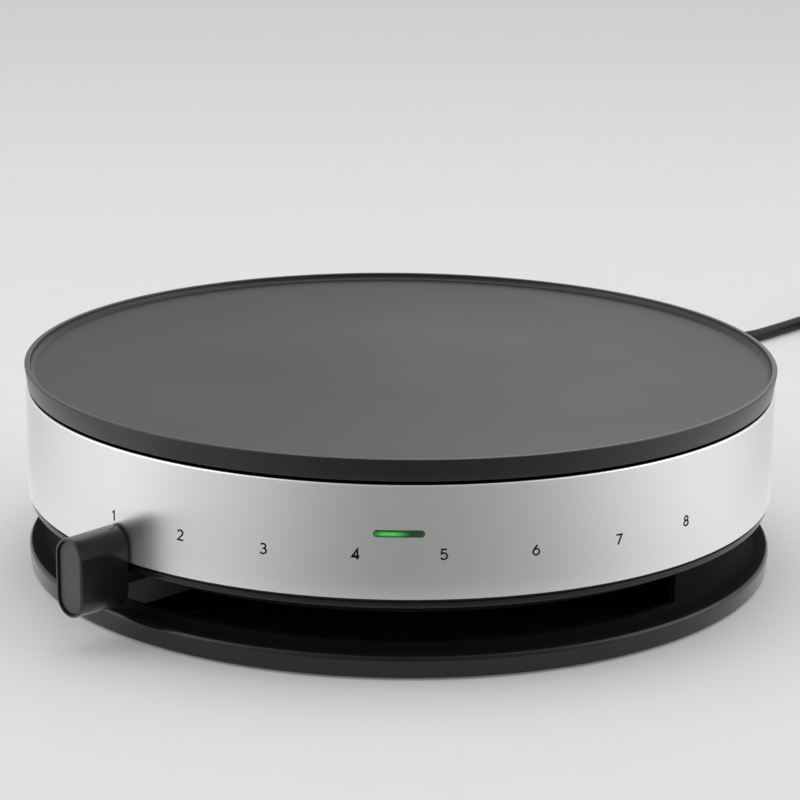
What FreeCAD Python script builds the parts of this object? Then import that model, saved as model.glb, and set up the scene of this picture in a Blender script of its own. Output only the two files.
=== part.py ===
import FreeCAD, Part
import math
import os

# Electric crepe maker: a round cast plate on a steel-banded body, with a slider for the heat.
# Millimetres. +Z is up, the front is -Y, and the origin is on the table under the centre.
# An azimuth is measured from the front, positive towards +X.

os.makedirs("parts", exist_ok=True)

Vec = FreeCAD.Vector
CENTRE = Vec(0, 0, 0)
UP = Vec(0, 0, 1)

# Clearances
slip = 0.1                      # between pieces of one body that slide together
running = 0.06                  # round a turning shaft
free_gap = 0.3                  # between pieces that move past each other
end_play = 0.1                  # along a turning shaft
same_spot = 1e-6                # points nearer than this are one point

# Levels, built up from the table
base_lift = 0.8                 # lower edge of the base wall
base_top = 10.0
groove_height = 19.5
lip_thickness = 2.4
lip_gap = 1.6                   # shadow line between lip and band
band_height = 46.4
plate_gap = 1.0                 # shadow line between band and plate
plate_wall = 9.1
lip_bottom = base_top + groove_height
lip_top = lip_bottom + lip_thickness
band_bottom = lip_top + lip_gap
band_top = band_bottom + band_height
total_height = band_top + plate_gap + plate_wall

# Cast plate
plate_radius = 165.0
plate_taper = 1.3               # the outer wall draws in this much downwards
rim_land = 2.4
rim_drop = 2.9                  # rim top down to the cooking surface
plate_thickness = 4.9
skirt_width = 5.0
rim_edge = 0.5                  # rounding of the rim's two edges
plate_rib_count = 6
plate_rib_width = 3.0
plate_rib_height = 3.0
screw_bite = 1.6                # how far a plate screw goes past the plate's underside

# Steel band
band_inset = 0.5                # the band stands back from the plate's rim
band_thickness = 0.6
band_corner = 1.3               # bend at the top edge
band_flange = 8.0               # inward flange at the top
band_radius = plate_radius - band_inset

# Body shell
lip_inset = 1.1                 # from the band's face
recess_inset = 1.9              # behind the shadow line over the lip
shell_wall = 3.0
shell_fillet = 3.0              # inside, between floor and wall
lip_edge = 0.5
post_inset = 40.0               # from the plate's rim to the circle of plate posts
post_count = 3
post_radius = 7.0
post_ledge_lift = 8.1           # seat of the plate screws' heads above the shell's floor
bush_radius = 8.0
bush_height = 6.5               # above the shell's floor
boss_inset = 14.5               # from the core wall to the circle of the cover screws' bosses
boss_azimuths = (-70, 70, 118, 152, -118)
boss_radius = 5.0
lip_radius = band_radius - lip_inset
recess_radius = band_radius - recess_inset
post_ring = plate_radius - post_inset
post_ledge = lip_top + post_ledge_lift

# Base
base_draw = 0.8                 # the outer wall draws in this much downwards
base_edge = 2.2
base_wall = 2.4
groove_depth = 10.5
cove_radius = 4.0               # from the base's top up into the core wall
slot_sill = 2.4                 # core wall left below the arm's slot
slot_head = 4.5                 # and above it
slot_spare_deg = 1.8            # past the arm's flanks at each end of its travel
base_radius = plate_radius
base_foot_radius = base_radius - base_draw
core_radius = base_radius - groove_depth
slot_bottom = base_top + slot_sill
slot_top = lip_bottom - slot_head
boss_ring = core_radius - boss_inset

# Bottom cover and feet
cover_thickness = 2.0
cover_lift = 1.4
foot_radius = 9.0
foot_inset = 37.0               # from the base's edge to the circle of feet
foot_count = 4
foot_cup_depth = 1.2
foot_cup_wall = 2.4
foot_stem_radius = 2.6
vent_ring = 62.0
vent_count = 24
vent_length = 30.0
vent_width = 3.2
foot_ring = base_radius - foot_inset

# Slider
slider_rest_deg = -43.6         # azimuth of the knob at rest, beside the numeral 1
slider_travel_deg = 87.2        # to the numeral 8
arm_width = 10.0
arm_drop = 1.0                  # under the slot's top edge
arm_lift = 0.7                  # over its lower edge
arm_tip_height = 6.5            # the arm gets shallower from the core wall to the knob
arm_tip_run = 8.5
arm_wall = 2.0
arm_web_count = 4
tongue_width = 9.0
tongue_length = 10.0            # inside the knob
hub_radius = 13.0
hub_lift = 0.1                  # over the slot's lower edge
arm_top = slot_top - arm_drop
arm_bottom = slot_bottom + arm_lift
arm_tip_bottom = arm_top - arm_tip_height
arm_tip_start = core_radius + arm_tip_run
hub_bottom = slot_bottom + hub_lift

# Knob
knob_gap = 1.5                  # from the band's face to the knob's back
knob_depth = 23.9
knob_front_width = 15.8
knob_lift = 4.7                 # lower end of its face above the base's top
knob_height = 33.0
knob_draft = 0.4                # the back is this much larger all round
knob_edge = 0.7
knob_rim = 1.0                  # rim round the inset
inset_depth = 2.6
inset_draft = 0.5
inset_thickness = 1.2
knob_wall = 2.2
knob_pocket_depth = 16.0
knob_back = band_radius + knob_gap
knob_front = knob_back + knob_depth
knob_front_low = base_top + knob_lift
knob_front_high = knob_front_low + knob_height
tongue_reach = knob_back + tongue_length

# Thermostat and its shaft
spindle_radius = 4.0
spindle_flat = 1.2              # depth of the flat in the arm's hub
spindle_collar_radius = 6.5
spindle_collar_height = 2.0
spindle_grip = 7.0              # how far the shaft enters the thermostat
stat_length = 34.0
stat_width = 26.0
stat_height = 18.0
stat_corner = 4.0
stat_blade_lift = 6.0           # blades above the thermostat's underside
stat_waist_lift = 10.0          # and its shallow waist
stat_waist_height = 1.2
plate_pad_radius = 30.0         # cast pad under the plate's centre
plate_pad_height = 4.0
bracket_length = 58.0
bracket_width = 20.0
bracket_thickness = 1.5
bracket_screw_offset = 23.0

# Heating element and what holds it
element_inset = 65.0            # from the plate's rim to the element's circle
element_radius = 4.0
element_rib_width = 16.0
element_rib_height = 6.0
element_gap_deg = 14.0          # half of the open stretch at the back
element_bend = 10.0
element_tail = 9.0
bead_radius = 5.0
bead_height = 6.0
bead_room = 2.0                 # round a bead in the heat shield
blade_width = 6.3
blade_thickness = 0.8
blade_length = 9.0
clip_azimuths = (0, 100, -100)
clip_length = 34.0
clip_width = 10.0
clip_thickness = 1.5
clip_screw_offset = 12.5
clip_boss_radius = 3.6
element_ring = plate_radius - element_inset

# Heat shield
shield_drop = 22.2              # under the plate's underside
shield_thickness = 0.6
shield_inset = 15.0             # from the plate's rim
shield_rim_height = 14.0
shield_corner = 3.0
shield_hole = 40.0
shield_radius = plate_radius - shield_inset

# Safety cut-out, placed as shares of the element's circle
cutout_across_share = -0.48
cutout_back_share = 0.42
cutout_radius = 7.5
cutout_height = 8.0
cutout_edge = 0.6
cutout_screw_offset = 13.0
cutout_strap_width = 9.0
cutout_strap_thickness = 1.0

# Screws: shank radius, head radius, head height
m3_screw = (1.5, 2.8, 1.8)
m4_screw = (2.0, 3.6, 2.4)
screw_socket = 0.9              # depth of the recess in a head
screw_cross = 0.8               # width of its two arms

# Pilot light
pilot_lift = 26.75              # centre above the band's lower edge
pilot_length = 20.0
pilot_height = 2.9
lens_flange_border = 1.6
lens_flange_thickness = 1.0
lens_proud = 0.15
lamp_radius = 2.2
lamp_length = 18.0
holder_length = 26.0
holder_height = 9.0
holder_depth = 8.5
holder_wall = 1.6
pilot_level = band_bottom + pilot_lift

# Mains entry at the back
cord_diameter = 7.4
cord_rise = 0.75                # centre of the cord above the middle of the groove
relief_length = 27.5            # outside the core wall
relief_root_radius = 5.6
relief_tip_radius = 4.6
relief_flange_thickness = 2.0
relief_flange_room = 0.5        # between the flange and the core wall
relief_groove = 0.6             # rings cut into the relief
relief_ring_count = 5
inner_cord_inset = 36.5         # from the core wall to the sheath's inner end
clamp_width = 8.0
clamp_length = 30.0
clamp_thickness = 4.0
clamp_inset = 18.5
clamp_screw_offset = 10.5
block_length = 36.0
block_width = 18.0
block_height = 13.0
block_inset = 62.5
block_pole_pitch = 11.0
block_ear_length = 9.0
block_ear_width = 8.0
block_ear_height = 3.0
block_way_lift = 7.0            # the wires' ways above the block's underside
block_well_radius = 3.2
block_well_depth = 4.0
block_screw_skin = 0.6          # floor left over the block screws' holes
lead_radius = 1.15
lead_room = 0.6                 # round a lead in the terminal block
lead_pitch = 2.4                # between the cores in the sheath
lead_bend = 5.0
lead_hole_radius = 11.0
lead_hole_inset = 88.5
lead_hole_pitch = 5.0
lead_lift = 6.0                 # above the shell's floor before a lead turns off
lead_arch = 18.0                # above the shell's floor where a lead crosses the body
lead_arch_side = 34.0           # how far out it crosses
lead_drop = 9.0                 # last run up to a blade
lamp_lead_run = 18.0            # from the lamp's cradle down to the shell's floor
cord_level = base_top + groove_height / 2 + cord_rise
relief_flange_radius = lip_bottom - cord_level - 0.6
relief_tip = core_radius + relief_length
inner_cord_end = core_radius - inner_cord_inset
clamp_place = core_radius - clamp_inset
block_place = core_radius - block_inset
lead_hole_place = core_radius - lead_hole_inset

# Mains cord on the table: a route chosen by hand, each point given as the distance to the right,
# the distance behind the relief's tip, and the level
cord_radius = cord_diameter / 2
cord_rest = cord_radius + 0.05  # centre of a cord that lies on the table
cord_route = [
    (0.0, 0.0, cord_level),
    (0.0, 21.0, cord_level),
    (2.0, 48.0, 12.4),
    (7.5, 77.0, 5.0),
    (19.0, 108.0, cord_rest),
    (37.0, 138.0, cord_rest),
    (65.0, 165.0, cord_rest),
    (101.0, 185.0, cord_rest),
    (142.0, 197.0, cord_rest),
    (180.0, 205.5, cord_rest),
    (209.0, 217.0, cord_rest),
    (227.0, 231.0, cord_rest),
    (243.0, 249.0, cord_rest),
]

# Coil of the length that is put away
coil_right = 308.0
coil_behind = 249.0             # behind the relief's tip
coil_inner_radius = 34.5
coil_pitch = 8.0                # between turns and between layers
coil_turns = 3.0
coil_start_angle = math.radians(135.0)

# From the coil to the plug's back: offsets from the coil's end, after a first run straight on
coil_lead = 13.0                # last run into the coil, in line with its first turn
tail_lead = 14.0                # first run out of the coil, in line with its last turn
tail_steps = [(24.0, 19.5, 3.6), (38.0, 26.5, 6.9), (51.5, 31.0, 6.9)]

# Mains plug
plug_radius = 18.4
plug_length = 42.0
plug_neck_radius = 6.5
plug_neck_flare = 1.5
plug_shoulder = 26.0
plug_slot_width = 6.0
plug_slot_depth = 1.8
plug_earth_radius = 2.6
plug_earth_depth = 12.0
pin_radius = 2.4
pin_length = 19.0
pin_offset = 9.5
contact_length = 12.0
contact_thickness = 0.8


# Shape helpers

def unit(vector):
    return Vec(vector).normalize()


def turn_at(before, corner, after):
    """Angle by which a route turns at its corner, in radians."""
    return (corner - before).getAngle(after - corner)


def corner_arc(before, corner, after, reach):
    """Arc tangent to both runs of a corner, and its two ends, each `reach` from the corner."""
    start = corner + unit(before - corner) * reach
    end = corner + unit(after - corner) * reach
    middle = (start + end) * 0.5
    half_chord = (end - start).Length / 2
    rise = (corner - middle).Length
    sagitta = half_chord * math.tan(math.atan2(rise, half_chord) / 2)
    crown = middle + (corner - middle) * (sagitta / rise)
    return Part.Arc(start, crown, end), start, end


def rounded_wire(points, radii, closed):
    """Straight runs through the points, joined by tangent arcs where a radius is given."""
    stops = []
    for index, corner in enumerate(points):
        if radii[index] == 0:
            stops.append((corner, None, corner))
            continue
        before = points[index - 1]
        after = points[(index + 1) % len(points)]
        reach = radii[index] * math.tan(turn_at(before, corner, after) / 2)
        arc, entry, leave = corner_arc(before, corner, after, reach)
        stops.append((entry, arc, leave))
    edges = []
    for index, (entry, arc, leave) in enumerate(stops):
        if arc:
            edges.append(arc.toShape())
        if index + 1 == len(stops) and not closed:
            break
        following = stops[(index + 1) % len(stops)][0]
        if (following - leave).Length > same_spot:
            edges.append(Part.LineSegment(leave, following).toShape())
    return Part.Wire(edges)


def flat_face(corners, place):
    """Face from corners (a, b) or (a, b, rounding); place turns (a, b) into a point."""
    points = [place(corner[0], corner[1]) for corner in corners]
    radii = [corner[2] if len(corner) == 3 else 0 for corner in corners]
    return Part.Face(rounded_wire(points, radii, True))


def turned(corners):
    """Solid of revolution about the vertical axis from corners (radius, level[, rounding])."""
    face = flat_face(corners, lambda radius, level: Vec(radius, 0, level))
    return face.revolve(CENTRE, UP, 360)


def ring(inner, outer, low, high):
    return turned([(inner, low), (outer, low), (outer, high), (inner, high)])


def post(radius, low, high, x=0.0, y=0.0):
    return Part.makeCylinder(radius, high - low, Vec(x, y, low))


def block(length, width, low, high, x=0.0, y=0.0, corner=0.0):
    """Upright block centred on (x, y), with rounded upright edges if corner is given."""
    half_l = length / 2
    half_w = width / 2
    corners = [(-half_l, -half_w, corner), (half_l, -half_w, corner)]
    corners += [(half_l, half_w, corner), (-half_l, half_w, corner)]
    face = flat_face(corners, lambda a, b: Vec(x + a, y + b, low))
    return face.extrude(Vec(0, 0, high - low))


def stadium(width, low, high, depth):
    """Upright stadium outline at a distance from the centre, facing the front."""
    radius = width / 2
    left_low = Vec(-radius, -depth, low + radius)
    right_low = Vec(radius, -depth, low + radius)
    left_high = Vec(-radius, -depth, high - radius)
    right_high = Vec(radius, -depth, high - radius)
    edges = [
        Part.Arc(left_low, Vec(0, -depth, low), right_low).toShape(),
        Part.LineSegment(right_low, right_high).toShape(),
        Part.Arc(right_high, Vec(0, -depth, high), left_high).toShape(),
        Part.LineSegment(left_high, left_low).toShape(),
    ]
    return Part.Wire(edges)


def flat_stadium(length, height, level, near, far):
    """Solid slot shape lying sideways round the front, between two distances."""
    radius = height / 2
    reach = length / 2 - radius
    left = Vec(-reach, -near, level)
    right = Vec(reach, -near, level)
    top = Vec(0, 0, radius)
    side = Vec(radius, 0, 0)
    edges = [
        Part.LineSegment(left - top, right - top).toShape(),
        Part.Arc(right - top, right + side, right + top).toShape(),
        Part.LineSegment(right + top, left + top).toShape(),
        Part.Arc(left + top, left - side, left - top).toShape(),
    ]
    return Part.Face(Part.Wire(edges)).extrude(Vec(0, near - far, 0))


def tube(path, radius):
    """Round bar or cord along a wire."""
    first = path.OrderedEdges[0]
    start = first.valueAt(first.FirstParameter)
    heading = first.tangentAt(first.FirstParameter)
    if first.Orientation == "Reversed":
        start = first.valueAt(first.LastParameter)
        heading = first.tangentAt(first.LastParameter) * -1
    section = Part.Wire([Part.Circle(start, heading, radius).toShape()])
    return path.makePipeShell([section], True, False)


def at_azimuth(shape, degrees):
    """Copy of a shape made at the front, turned to its azimuth."""
    copy = shape.copy()
    copy.rotate(CENTRE, UP, degrees)
    return copy


def around(shape, azimuths):
    return [at_azimuth(shape, degrees) for degrees in azimuths]


def steps_round(count, first=0.0):
    return [first + index * 360.0 / count for index in range(count)]


def group(shapes):
    return Part.makeCompound(shapes)


def screw(sizes, head_seat, tip, x=0.0, y=0.0):
    """Screw driven upwards: its head hangs under head_seat, its tip points up."""
    shank_radius, head_radius, head_height = sizes
    shank = post(shank_radius, head_seat, tip, x, y)
    head = post(head_radius, head_seat - head_height, head_seat, x, y)
    low = head_seat - head_height
    socket = block(head_radius * 1.2, screw_cross, low, low + screw_socket, x, y)
    cross = block(screw_cross, head_radius * 1.2, low, low + screw_socket, x, y)
    return shank.fuse(head).cut([socket, cross]).removeSplitter()


# Derived levels and radii

surface_level = total_height - rim_drop
underside = surface_level - plate_thickness
skirt_bottom = band_top + plate_gap
band_inner = band_radius - band_thickness
shell_outer = band_inner - slip
shell_inner = shell_outer - shell_wall
shell_top = band_top - band_thickness
cover_top = cover_lift + cover_thickness
boss_bottom = underside - element_rib_height
pad_bottom = underside - plate_pad_height
shield_level = underside - shield_drop
shield_rim_top = shield_level + shield_rim_height
cutout_place = (cutout_across_share * element_ring, cutout_back_share * element_ring)
element_level = boss_bottom + slip + element_radius
bracket_bottom = pad_bottom - bracket_thickness
stat_bottom = bracket_bottom - stat_height
bush_top = lip_top + bush_height
post_azimuths = steps_round(post_count)
foot_azimuths = steps_round(foot_count, 45.0)
knob_spot = slider_rest_deg
arm_half_deg = math.degrees(math.asin(arm_width / 2 / core_radius))
slot_half_deg = slider_travel_deg / 2 + arm_half_deg + slot_spare_deg


# Top: plate, element and what hangs under the plate

def make_griddle_plate():
    rim_inner = plate_radius - rim_land
    lower_radius = plate_radius - plate_taper
    body = turned([
        (0, underside),
        (lower_radius - skirt_width, underside),
        (lower_radius - skirt_width, skirt_bottom),
        (lower_radius, skirt_bottom, rim_edge),
        (plate_radius, total_height, rim_edge),
        (rim_inner, total_height, rim_edge),
        (rim_inner, surface_level, rim_drop - rim_edge - slip),
        (0, surface_level),
    ])
    rib_inner = element_ring - element_rib_width / 2
    rib_outer = element_ring + element_rib_width / 2
    rib = ring(rib_inner, rib_outer, boss_bottom, underside)
    gap_half = element_ring * math.sin(math.radians(element_gap_deg + reach_of_bend())) + slip
    gap = block(2 * gap_half, 2 * element_rib_width, boss_bottom - 1, underside, 0, element_ring)
    parts = [rib.cut(gap), post(plate_pad_radius, pad_bottom, underside)]
    spoke_end = band_radius - band_flange - free_gap
    spoke_start = rib_outer - plate_rib_width
    for degrees in steps_round(plate_rib_count, 180.0 / plate_rib_count):
        length = spoke_end - spoke_start
        spoke = block(plate_rib_width, length, underside - plate_rib_height, underside, 0, -spoke_start - length / 2)
        parts.append(at_azimuth(spoke, degrees))
    parts += around(post(post_radius, boss_bottom, underside, 0, -post_ring), post_azimuths)
    for x, y in clip_screw_spots():
        parts.append(post(clip_boss_radius, boss_bottom, underside, x, y))
    for x, y in cutout_screw_spots():
        parts.append(post(clip_boss_radius, underside - cutout_height, underside, x, y))
    plate = body.fuse(parts)
    cuts = [element_groove()]
    cuts += around(post(m4_screw[0] + slip, boss_bottom, screw_tip_level(), 0, -post_ring), post_azimuths)
    for x, y in clip_screw_spots():
        cuts.append(post(m3_screw[0] + slip, boss_bottom, underside, x, y))
    for x, y in cutout_screw_spots():
        cuts.append(post(m3_screw[0] + slip, underside - cutout_height, underside, x, y))
    for side in (-1, 1):
        cuts.append(post(m4_screw[0] + slip, pad_bottom, underside, side * bracket_screw_offset, 0))
    cuts.append(post(m4_screw[0] + slip, pad_bottom, underside, 0, earth_screw_place()))
    return plate.cut(cuts).removeSplitter()


def screw_tip_level():
    return underside + screw_bite


def earth_screw_place():
    return plate_pad_radius - m4_screw[1] - 2


def element_groove():
    """Channel of the ring element: round at its top, open below."""
    radius = element_radius + slip
    channel = Part.makeTorus(element_ring, radius, Vec(0, 0, element_level), UP)
    mouth = ring(element_ring - radius, element_ring + radius, boss_bottom - 1, element_level)
    return channel.fuse(mouth)


def element_end(side):
    """Where the ring ends and its tail bends down, and the direction it runs there."""
    angle = math.radians(90 - side * element_gap_deg - side * reach_of_bend())
    spot = Vec(element_ring * math.cos(angle), element_ring * math.sin(angle), element_level)
    heading = Vec(-side * math.sin(angle), side * math.cos(angle), 0)
    return spot, heading


def reach_of_bend():
    return math.degrees(element_bend / element_ring)


def make_heating_element():
    edges = []
    for side in (-1, 1):
        spot, heading = element_end(side)
        corner = spot + heading * element_bend
        below = corner - UP * element_bend
        arc, start, end = corner_arc(spot, corner, below, element_bend)
        tail_end = end - UP * element_tail
        edges.append((arc.toShape(), Part.LineSegment(end, tail_end).toShape(), start))
    right = edges[1][2]
    left = edges[0][2]
    front = Vec(0, -element_ring, element_level)
    ring_edge = Part.Arc(right, front, left).toShape()
    path = Part.Wire(Part.__sortEdges__([
        edges[1][1], edges[1][0], ring_edge, edges[0][0], edges[0][1],
    ]))
    return tube(path, element_radius)


def element_tail_spot(side):
    spot, heading = element_end(side)
    spot = spot + heading * element_bend
    return Vec(spot.x, spot.y, element_level - element_bend - element_tail)


def make_element_terminals():
    pieces = []
    for side in (-1, 1):
        spot = element_tail_spot(side)
        bead = post(bead_radius, spot.z - bead_height, spot.z, spot.x, spot.y)
        blade_low = spot.z - bead_height - blade_length
        blade = block(blade_width, blade_thickness, blade_low, spot.z - bead_height, spot.x, spot.y)
        pieces.append(bead.fuse(blade).removeSplitter())
    return group(pieces)


def clip_screw_spots():
    spots = []
    for degrees in clip_azimuths:
        angle = math.radians(degrees)
        for offset in (-clip_screw_offset, clip_screw_offset):
            distance = element_ring + offset
            spots.append((distance * math.sin(angle), -distance * math.cos(angle)))
    return spots


def make_element_clips():
    clip = block(clip_width, clip_length, boss_bottom - clip_thickness, boss_bottom, 0, -element_ring, 2.0)
    holes = []
    for offset in (-clip_screw_offset, clip_screw_offset):
        spot = -element_ring + offset
        holes.append(post(m3_screw[0] + slip, boss_bottom - clip_thickness, boss_bottom, 0, spot))
    return group(around(clip.cut(holes), clip_azimuths))


def make_clip_screws():
    seat = boss_bottom - clip_thickness
    return group([screw(m3_screw, seat, underside - slip, x, y) for x, y in clip_screw_spots()])


def make_thermal_cutout():
    x, y = cutout_place
    can = post(cutout_radius, underside - cutout_height, underside, x, y)
    return can.makeChamfer(cutout_edge, [edge for edge in can.Edges if edge.BoundBox.ZMax < underside - 1])


def cutout_screw_spots():
    x, y = cutout_place
    return [(x - cutout_screw_offset, y), (x + cutout_screw_offset, y)]


def cutout_bottom():
    return underside - cutout_height


def make_cutout_clip():
    x, y = cutout_place
    low = cutout_bottom() - cutout_strap_thickness
    length = 2 * cutout_screw_offset + cutout_strap_width
    strap = block(length, cutout_strap_width, low, cutout_bottom(), x, y, 2.0)
    holes = [post(m3_screw[0] + slip, low, cutout_bottom(), *spot) for spot in cutout_screw_spots()]
    return strap.cut(holes)


def make_cutout_screws():
    seat = cutout_bottom() - cutout_strap_thickness
    return group([screw(m3_screw, seat, underside - slip, x, y) for x, y in cutout_screw_spots()])


def make_heat_shield():
    outer = shield_radius
    inner = shield_radius - shield_thickness
    pan = turned([
        (shield_hole, shield_level),
        (outer, shield_level, shield_corner),
        (outer, shield_rim_top),
        (inner, shield_rim_top),
        (inner, shield_level + shield_thickness, shield_corner - shield_thickness),
        (shield_hole, shield_level + shield_thickness),
    ])
    high = shield_level + 1
    holes = around(post(m4_screw[0] + slip, shield_level - 1, high, 0, -post_ring), post_azimuths)
    for side in (-1, 1):
        spot = element_tail_spot(side)
        holes.append(post(bead_radius + bead_room, shield_level - 1, high, spot.x, spot.y))
    return pan.cut(holes)


def make_plate_spacers():
    low = shield_level + shield_thickness
    spacer = post(post_radius - 2, low, boss_bottom, 0, -post_ring)
    bore = post(m4_screw[0] + slip, low, boss_bottom, 0, -post_ring)
    return group(around(spacer.cut(bore), post_azimuths))


def make_plate_screws():
    tip = screw_tip_level() - slip
    return group(around(screw(m4_screw, post_ledge, tip, 0, -post_ring), post_azimuths))


# Centre: thermostat, shaft and arm

def make_thermostat_body():
    body = block(stat_length, stat_width, stat_bottom, bracket_bottom, 0, 0, stat_corner)
    bore = post(spindle_radius + running, stat_bottom, stat_bottom + spindle_grip + free_gap)
    blades = []
    for side in (-1, 1):
        x = side * (stat_length / 2 + blade_length / 2)
        low = stat_bottom + stat_blade_lift
        blades.append(block(blade_length, blade_width, low, low + blade_thickness, x, 0))
    waist_low = stat_bottom + stat_waist_lift
    waist = ring(stat_width / 2 + 3, stat_length, waist_low, waist_low + stat_waist_height)
    return body.cut([bore, waist]).fuse(blades).removeSplitter()


def make_thermostat_bracket():
    strap = block(bracket_length, bracket_width, bracket_bottom, pad_bottom, 0, 0, 4.0)
    holes = []
    for side in (-1, 1):
        holes.append(post(m4_screw[0] + slip, bracket_bottom, pad_bottom, side * bracket_screw_offset, 0))
    return strap.cut(holes)


def make_bracket_screws():
    screws = []
    for side in (-1, 1):
        screws.append(screw(m4_screw, bracket_bottom, underside - slip, side * bracket_screw_offset, 0))
    return group(screws)


def make_thermostat_spindle():
    top = stat_bottom + spindle_grip
    collar_low = bush_top + end_play
    shaft = post(spindle_radius, hub_bottom + 0.5, top)
    collar = post(spindle_collar_radius, collar_low, collar_low + spindle_collar_height)
    width = 2 * spindle_radius
    flat = block(width, width, hub_bottom, arm_top, 0, width - spindle_flat)
    thread = post(m3_screw[0] + slip, hub_bottom, arm_top)
    return at_azimuth(shaft.fuse(collar).cut([flat, thread]).removeSplitter(), knob_spot)


def make_slider_arm():
    """Hub on the shaft, a ribbed channel out through the slot, and the knob's tongue."""
    half = arm_width / 2
    side_view = flat_face([
        (0, arm_bottom),
        (core_radius, arm_bottom),
        (arm_tip_start, arm_tip_bottom),
        (tongue_reach, arm_tip_bottom, 1.0),
        (tongue_reach, arm_top, 1.0),
        (0, arm_top),
    ], lambda distance, level: Vec(-half, -distance, level))
    bar = side_view.extrude(Vec(arm_width, 0, 0))
    shoulders = []
    for side in (-1, 1):
        x = side * (tongue_width / 2 + half)
        length = tongue_reach - knob_back + free_gap
        y = length / 2 - tongue_reach - slip
        shoulders.append(block(arm_width, length, arm_bottom, arm_top + 1, x, y))
    hub = post(hub_radius, hub_bottom, arm_top)
    channel_length = core_radius - hub_radius - 3 * arm_wall
    channel_place = -hub_radius - arm_wall - channel_length / 2
    channel_width = arm_width - 2 * arm_wall
    channel = block(channel_width, channel_length, arm_bottom, arm_top - arm_wall, 0, channel_place)
    webs = []
    for index in range(arm_web_count):
        y = -hub_radius - arm_wall - channel_length * (index + 1) / (arm_web_count + 1)
        webs.append(block(channel_width, arm_wall * 0.7, arm_bottom, arm_top - arm_wall, 0, y))
    bore = post(spindle_radius + slip, hub_bottom, arm_top)
    width = 2 * spindle_radius
    key = block(width, width, hub_bottom, arm_top, 0, width - spindle_flat + slip)
    body = bar.cut(shoulders).cut(channel.cut(webs)).fuse(hub).cut(bore.cut(key))
    return at_azimuth(body.removeSplitter(), knob_spot)


def make_arm_screw():
    sizes = (m3_screw[0], spindle_radius + 1.2, m3_screw[2])
    return at_azimuth(screw(sizes, hub_bottom, arm_top - 2), knob_spot)


def knob_section(depth, inset):
    """Outline of the knob at a distance from the centre, drawn in by inset."""
    share = (knob_front - depth) / (knob_front - knob_back)
    grow = knob_draft * share - inset
    return stadium(knob_front_width + 2 * grow, knob_front_low - grow, knob_front_high + grow, depth)


def make_slider_knob():
    body = Part.makeLoft([knob_section(knob_back, 0), knob_section(knob_front, 0)], True, True)
    front_edges = [edge for edge in body.Edges if edge.BoundBox.YMax < -knob_front + slip]
    body = body.makeFillet(knob_edge, front_edges)
    bottom = knob_front - inset_depth - inset_thickness
    recess = Part.makeLoft([
        knob_section(knob_front + 1, knob_rim),
        knob_section(bottom, knob_rim + inset_draft),
    ], True, True)
    pocket_back = knob_section(knob_back - 1, knob_wall)
    pocket_front = knob_section(knob_back + knob_pocket_depth, knob_wall)
    pocket = Part.makeLoft([pocket_back, pocket_front], True, True)
    floor = arm_top + slip + knob_wall
    pocket = pocket.common(block(4 * knob_front_width, 3 * knob_front, floor, total_height))
    socket_length = tongue_reach - knob_back + slip
    socket_place = -knob_back - socket_length / 2
    socket_width = tongue_width + 2 * slip
    socket = block(socket_width, socket_length, arm_tip_bottom - slip, arm_top + slip, 0, socket_place)
    return at_azimuth(body.cut([recess, pocket, socket]), knob_spot)


def make_knob_panel():
    bottom = knob_front - inset_depth - inset_thickness
    top = bottom + inset_thickness
    inset = knob_rim + inset_draft + slip
    panel = Part.makeLoft([knob_section(bottom, inset), knob_section(top, inset)], True, True)
    return at_azimuth(panel, knob_spot)


# Body: band, shell and pilot light

def make_steel_band():
    inner = band_inner
    band = turned([
        (inner, band_bottom),
        (band_radius, band_bottom),
        (band_radius, band_top, band_corner),
        (band_radius - band_flange, band_top),
        (band_radius - band_flange, band_top - band_thickness),
        (inner, band_top - band_thickness, band_corner - band_thickness),
    ])
    slot = flat_stadium(pilot_length, pilot_height, pilot_level, band_radius - 5, band_radius + 5)
    return band.cut(slot)


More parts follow.
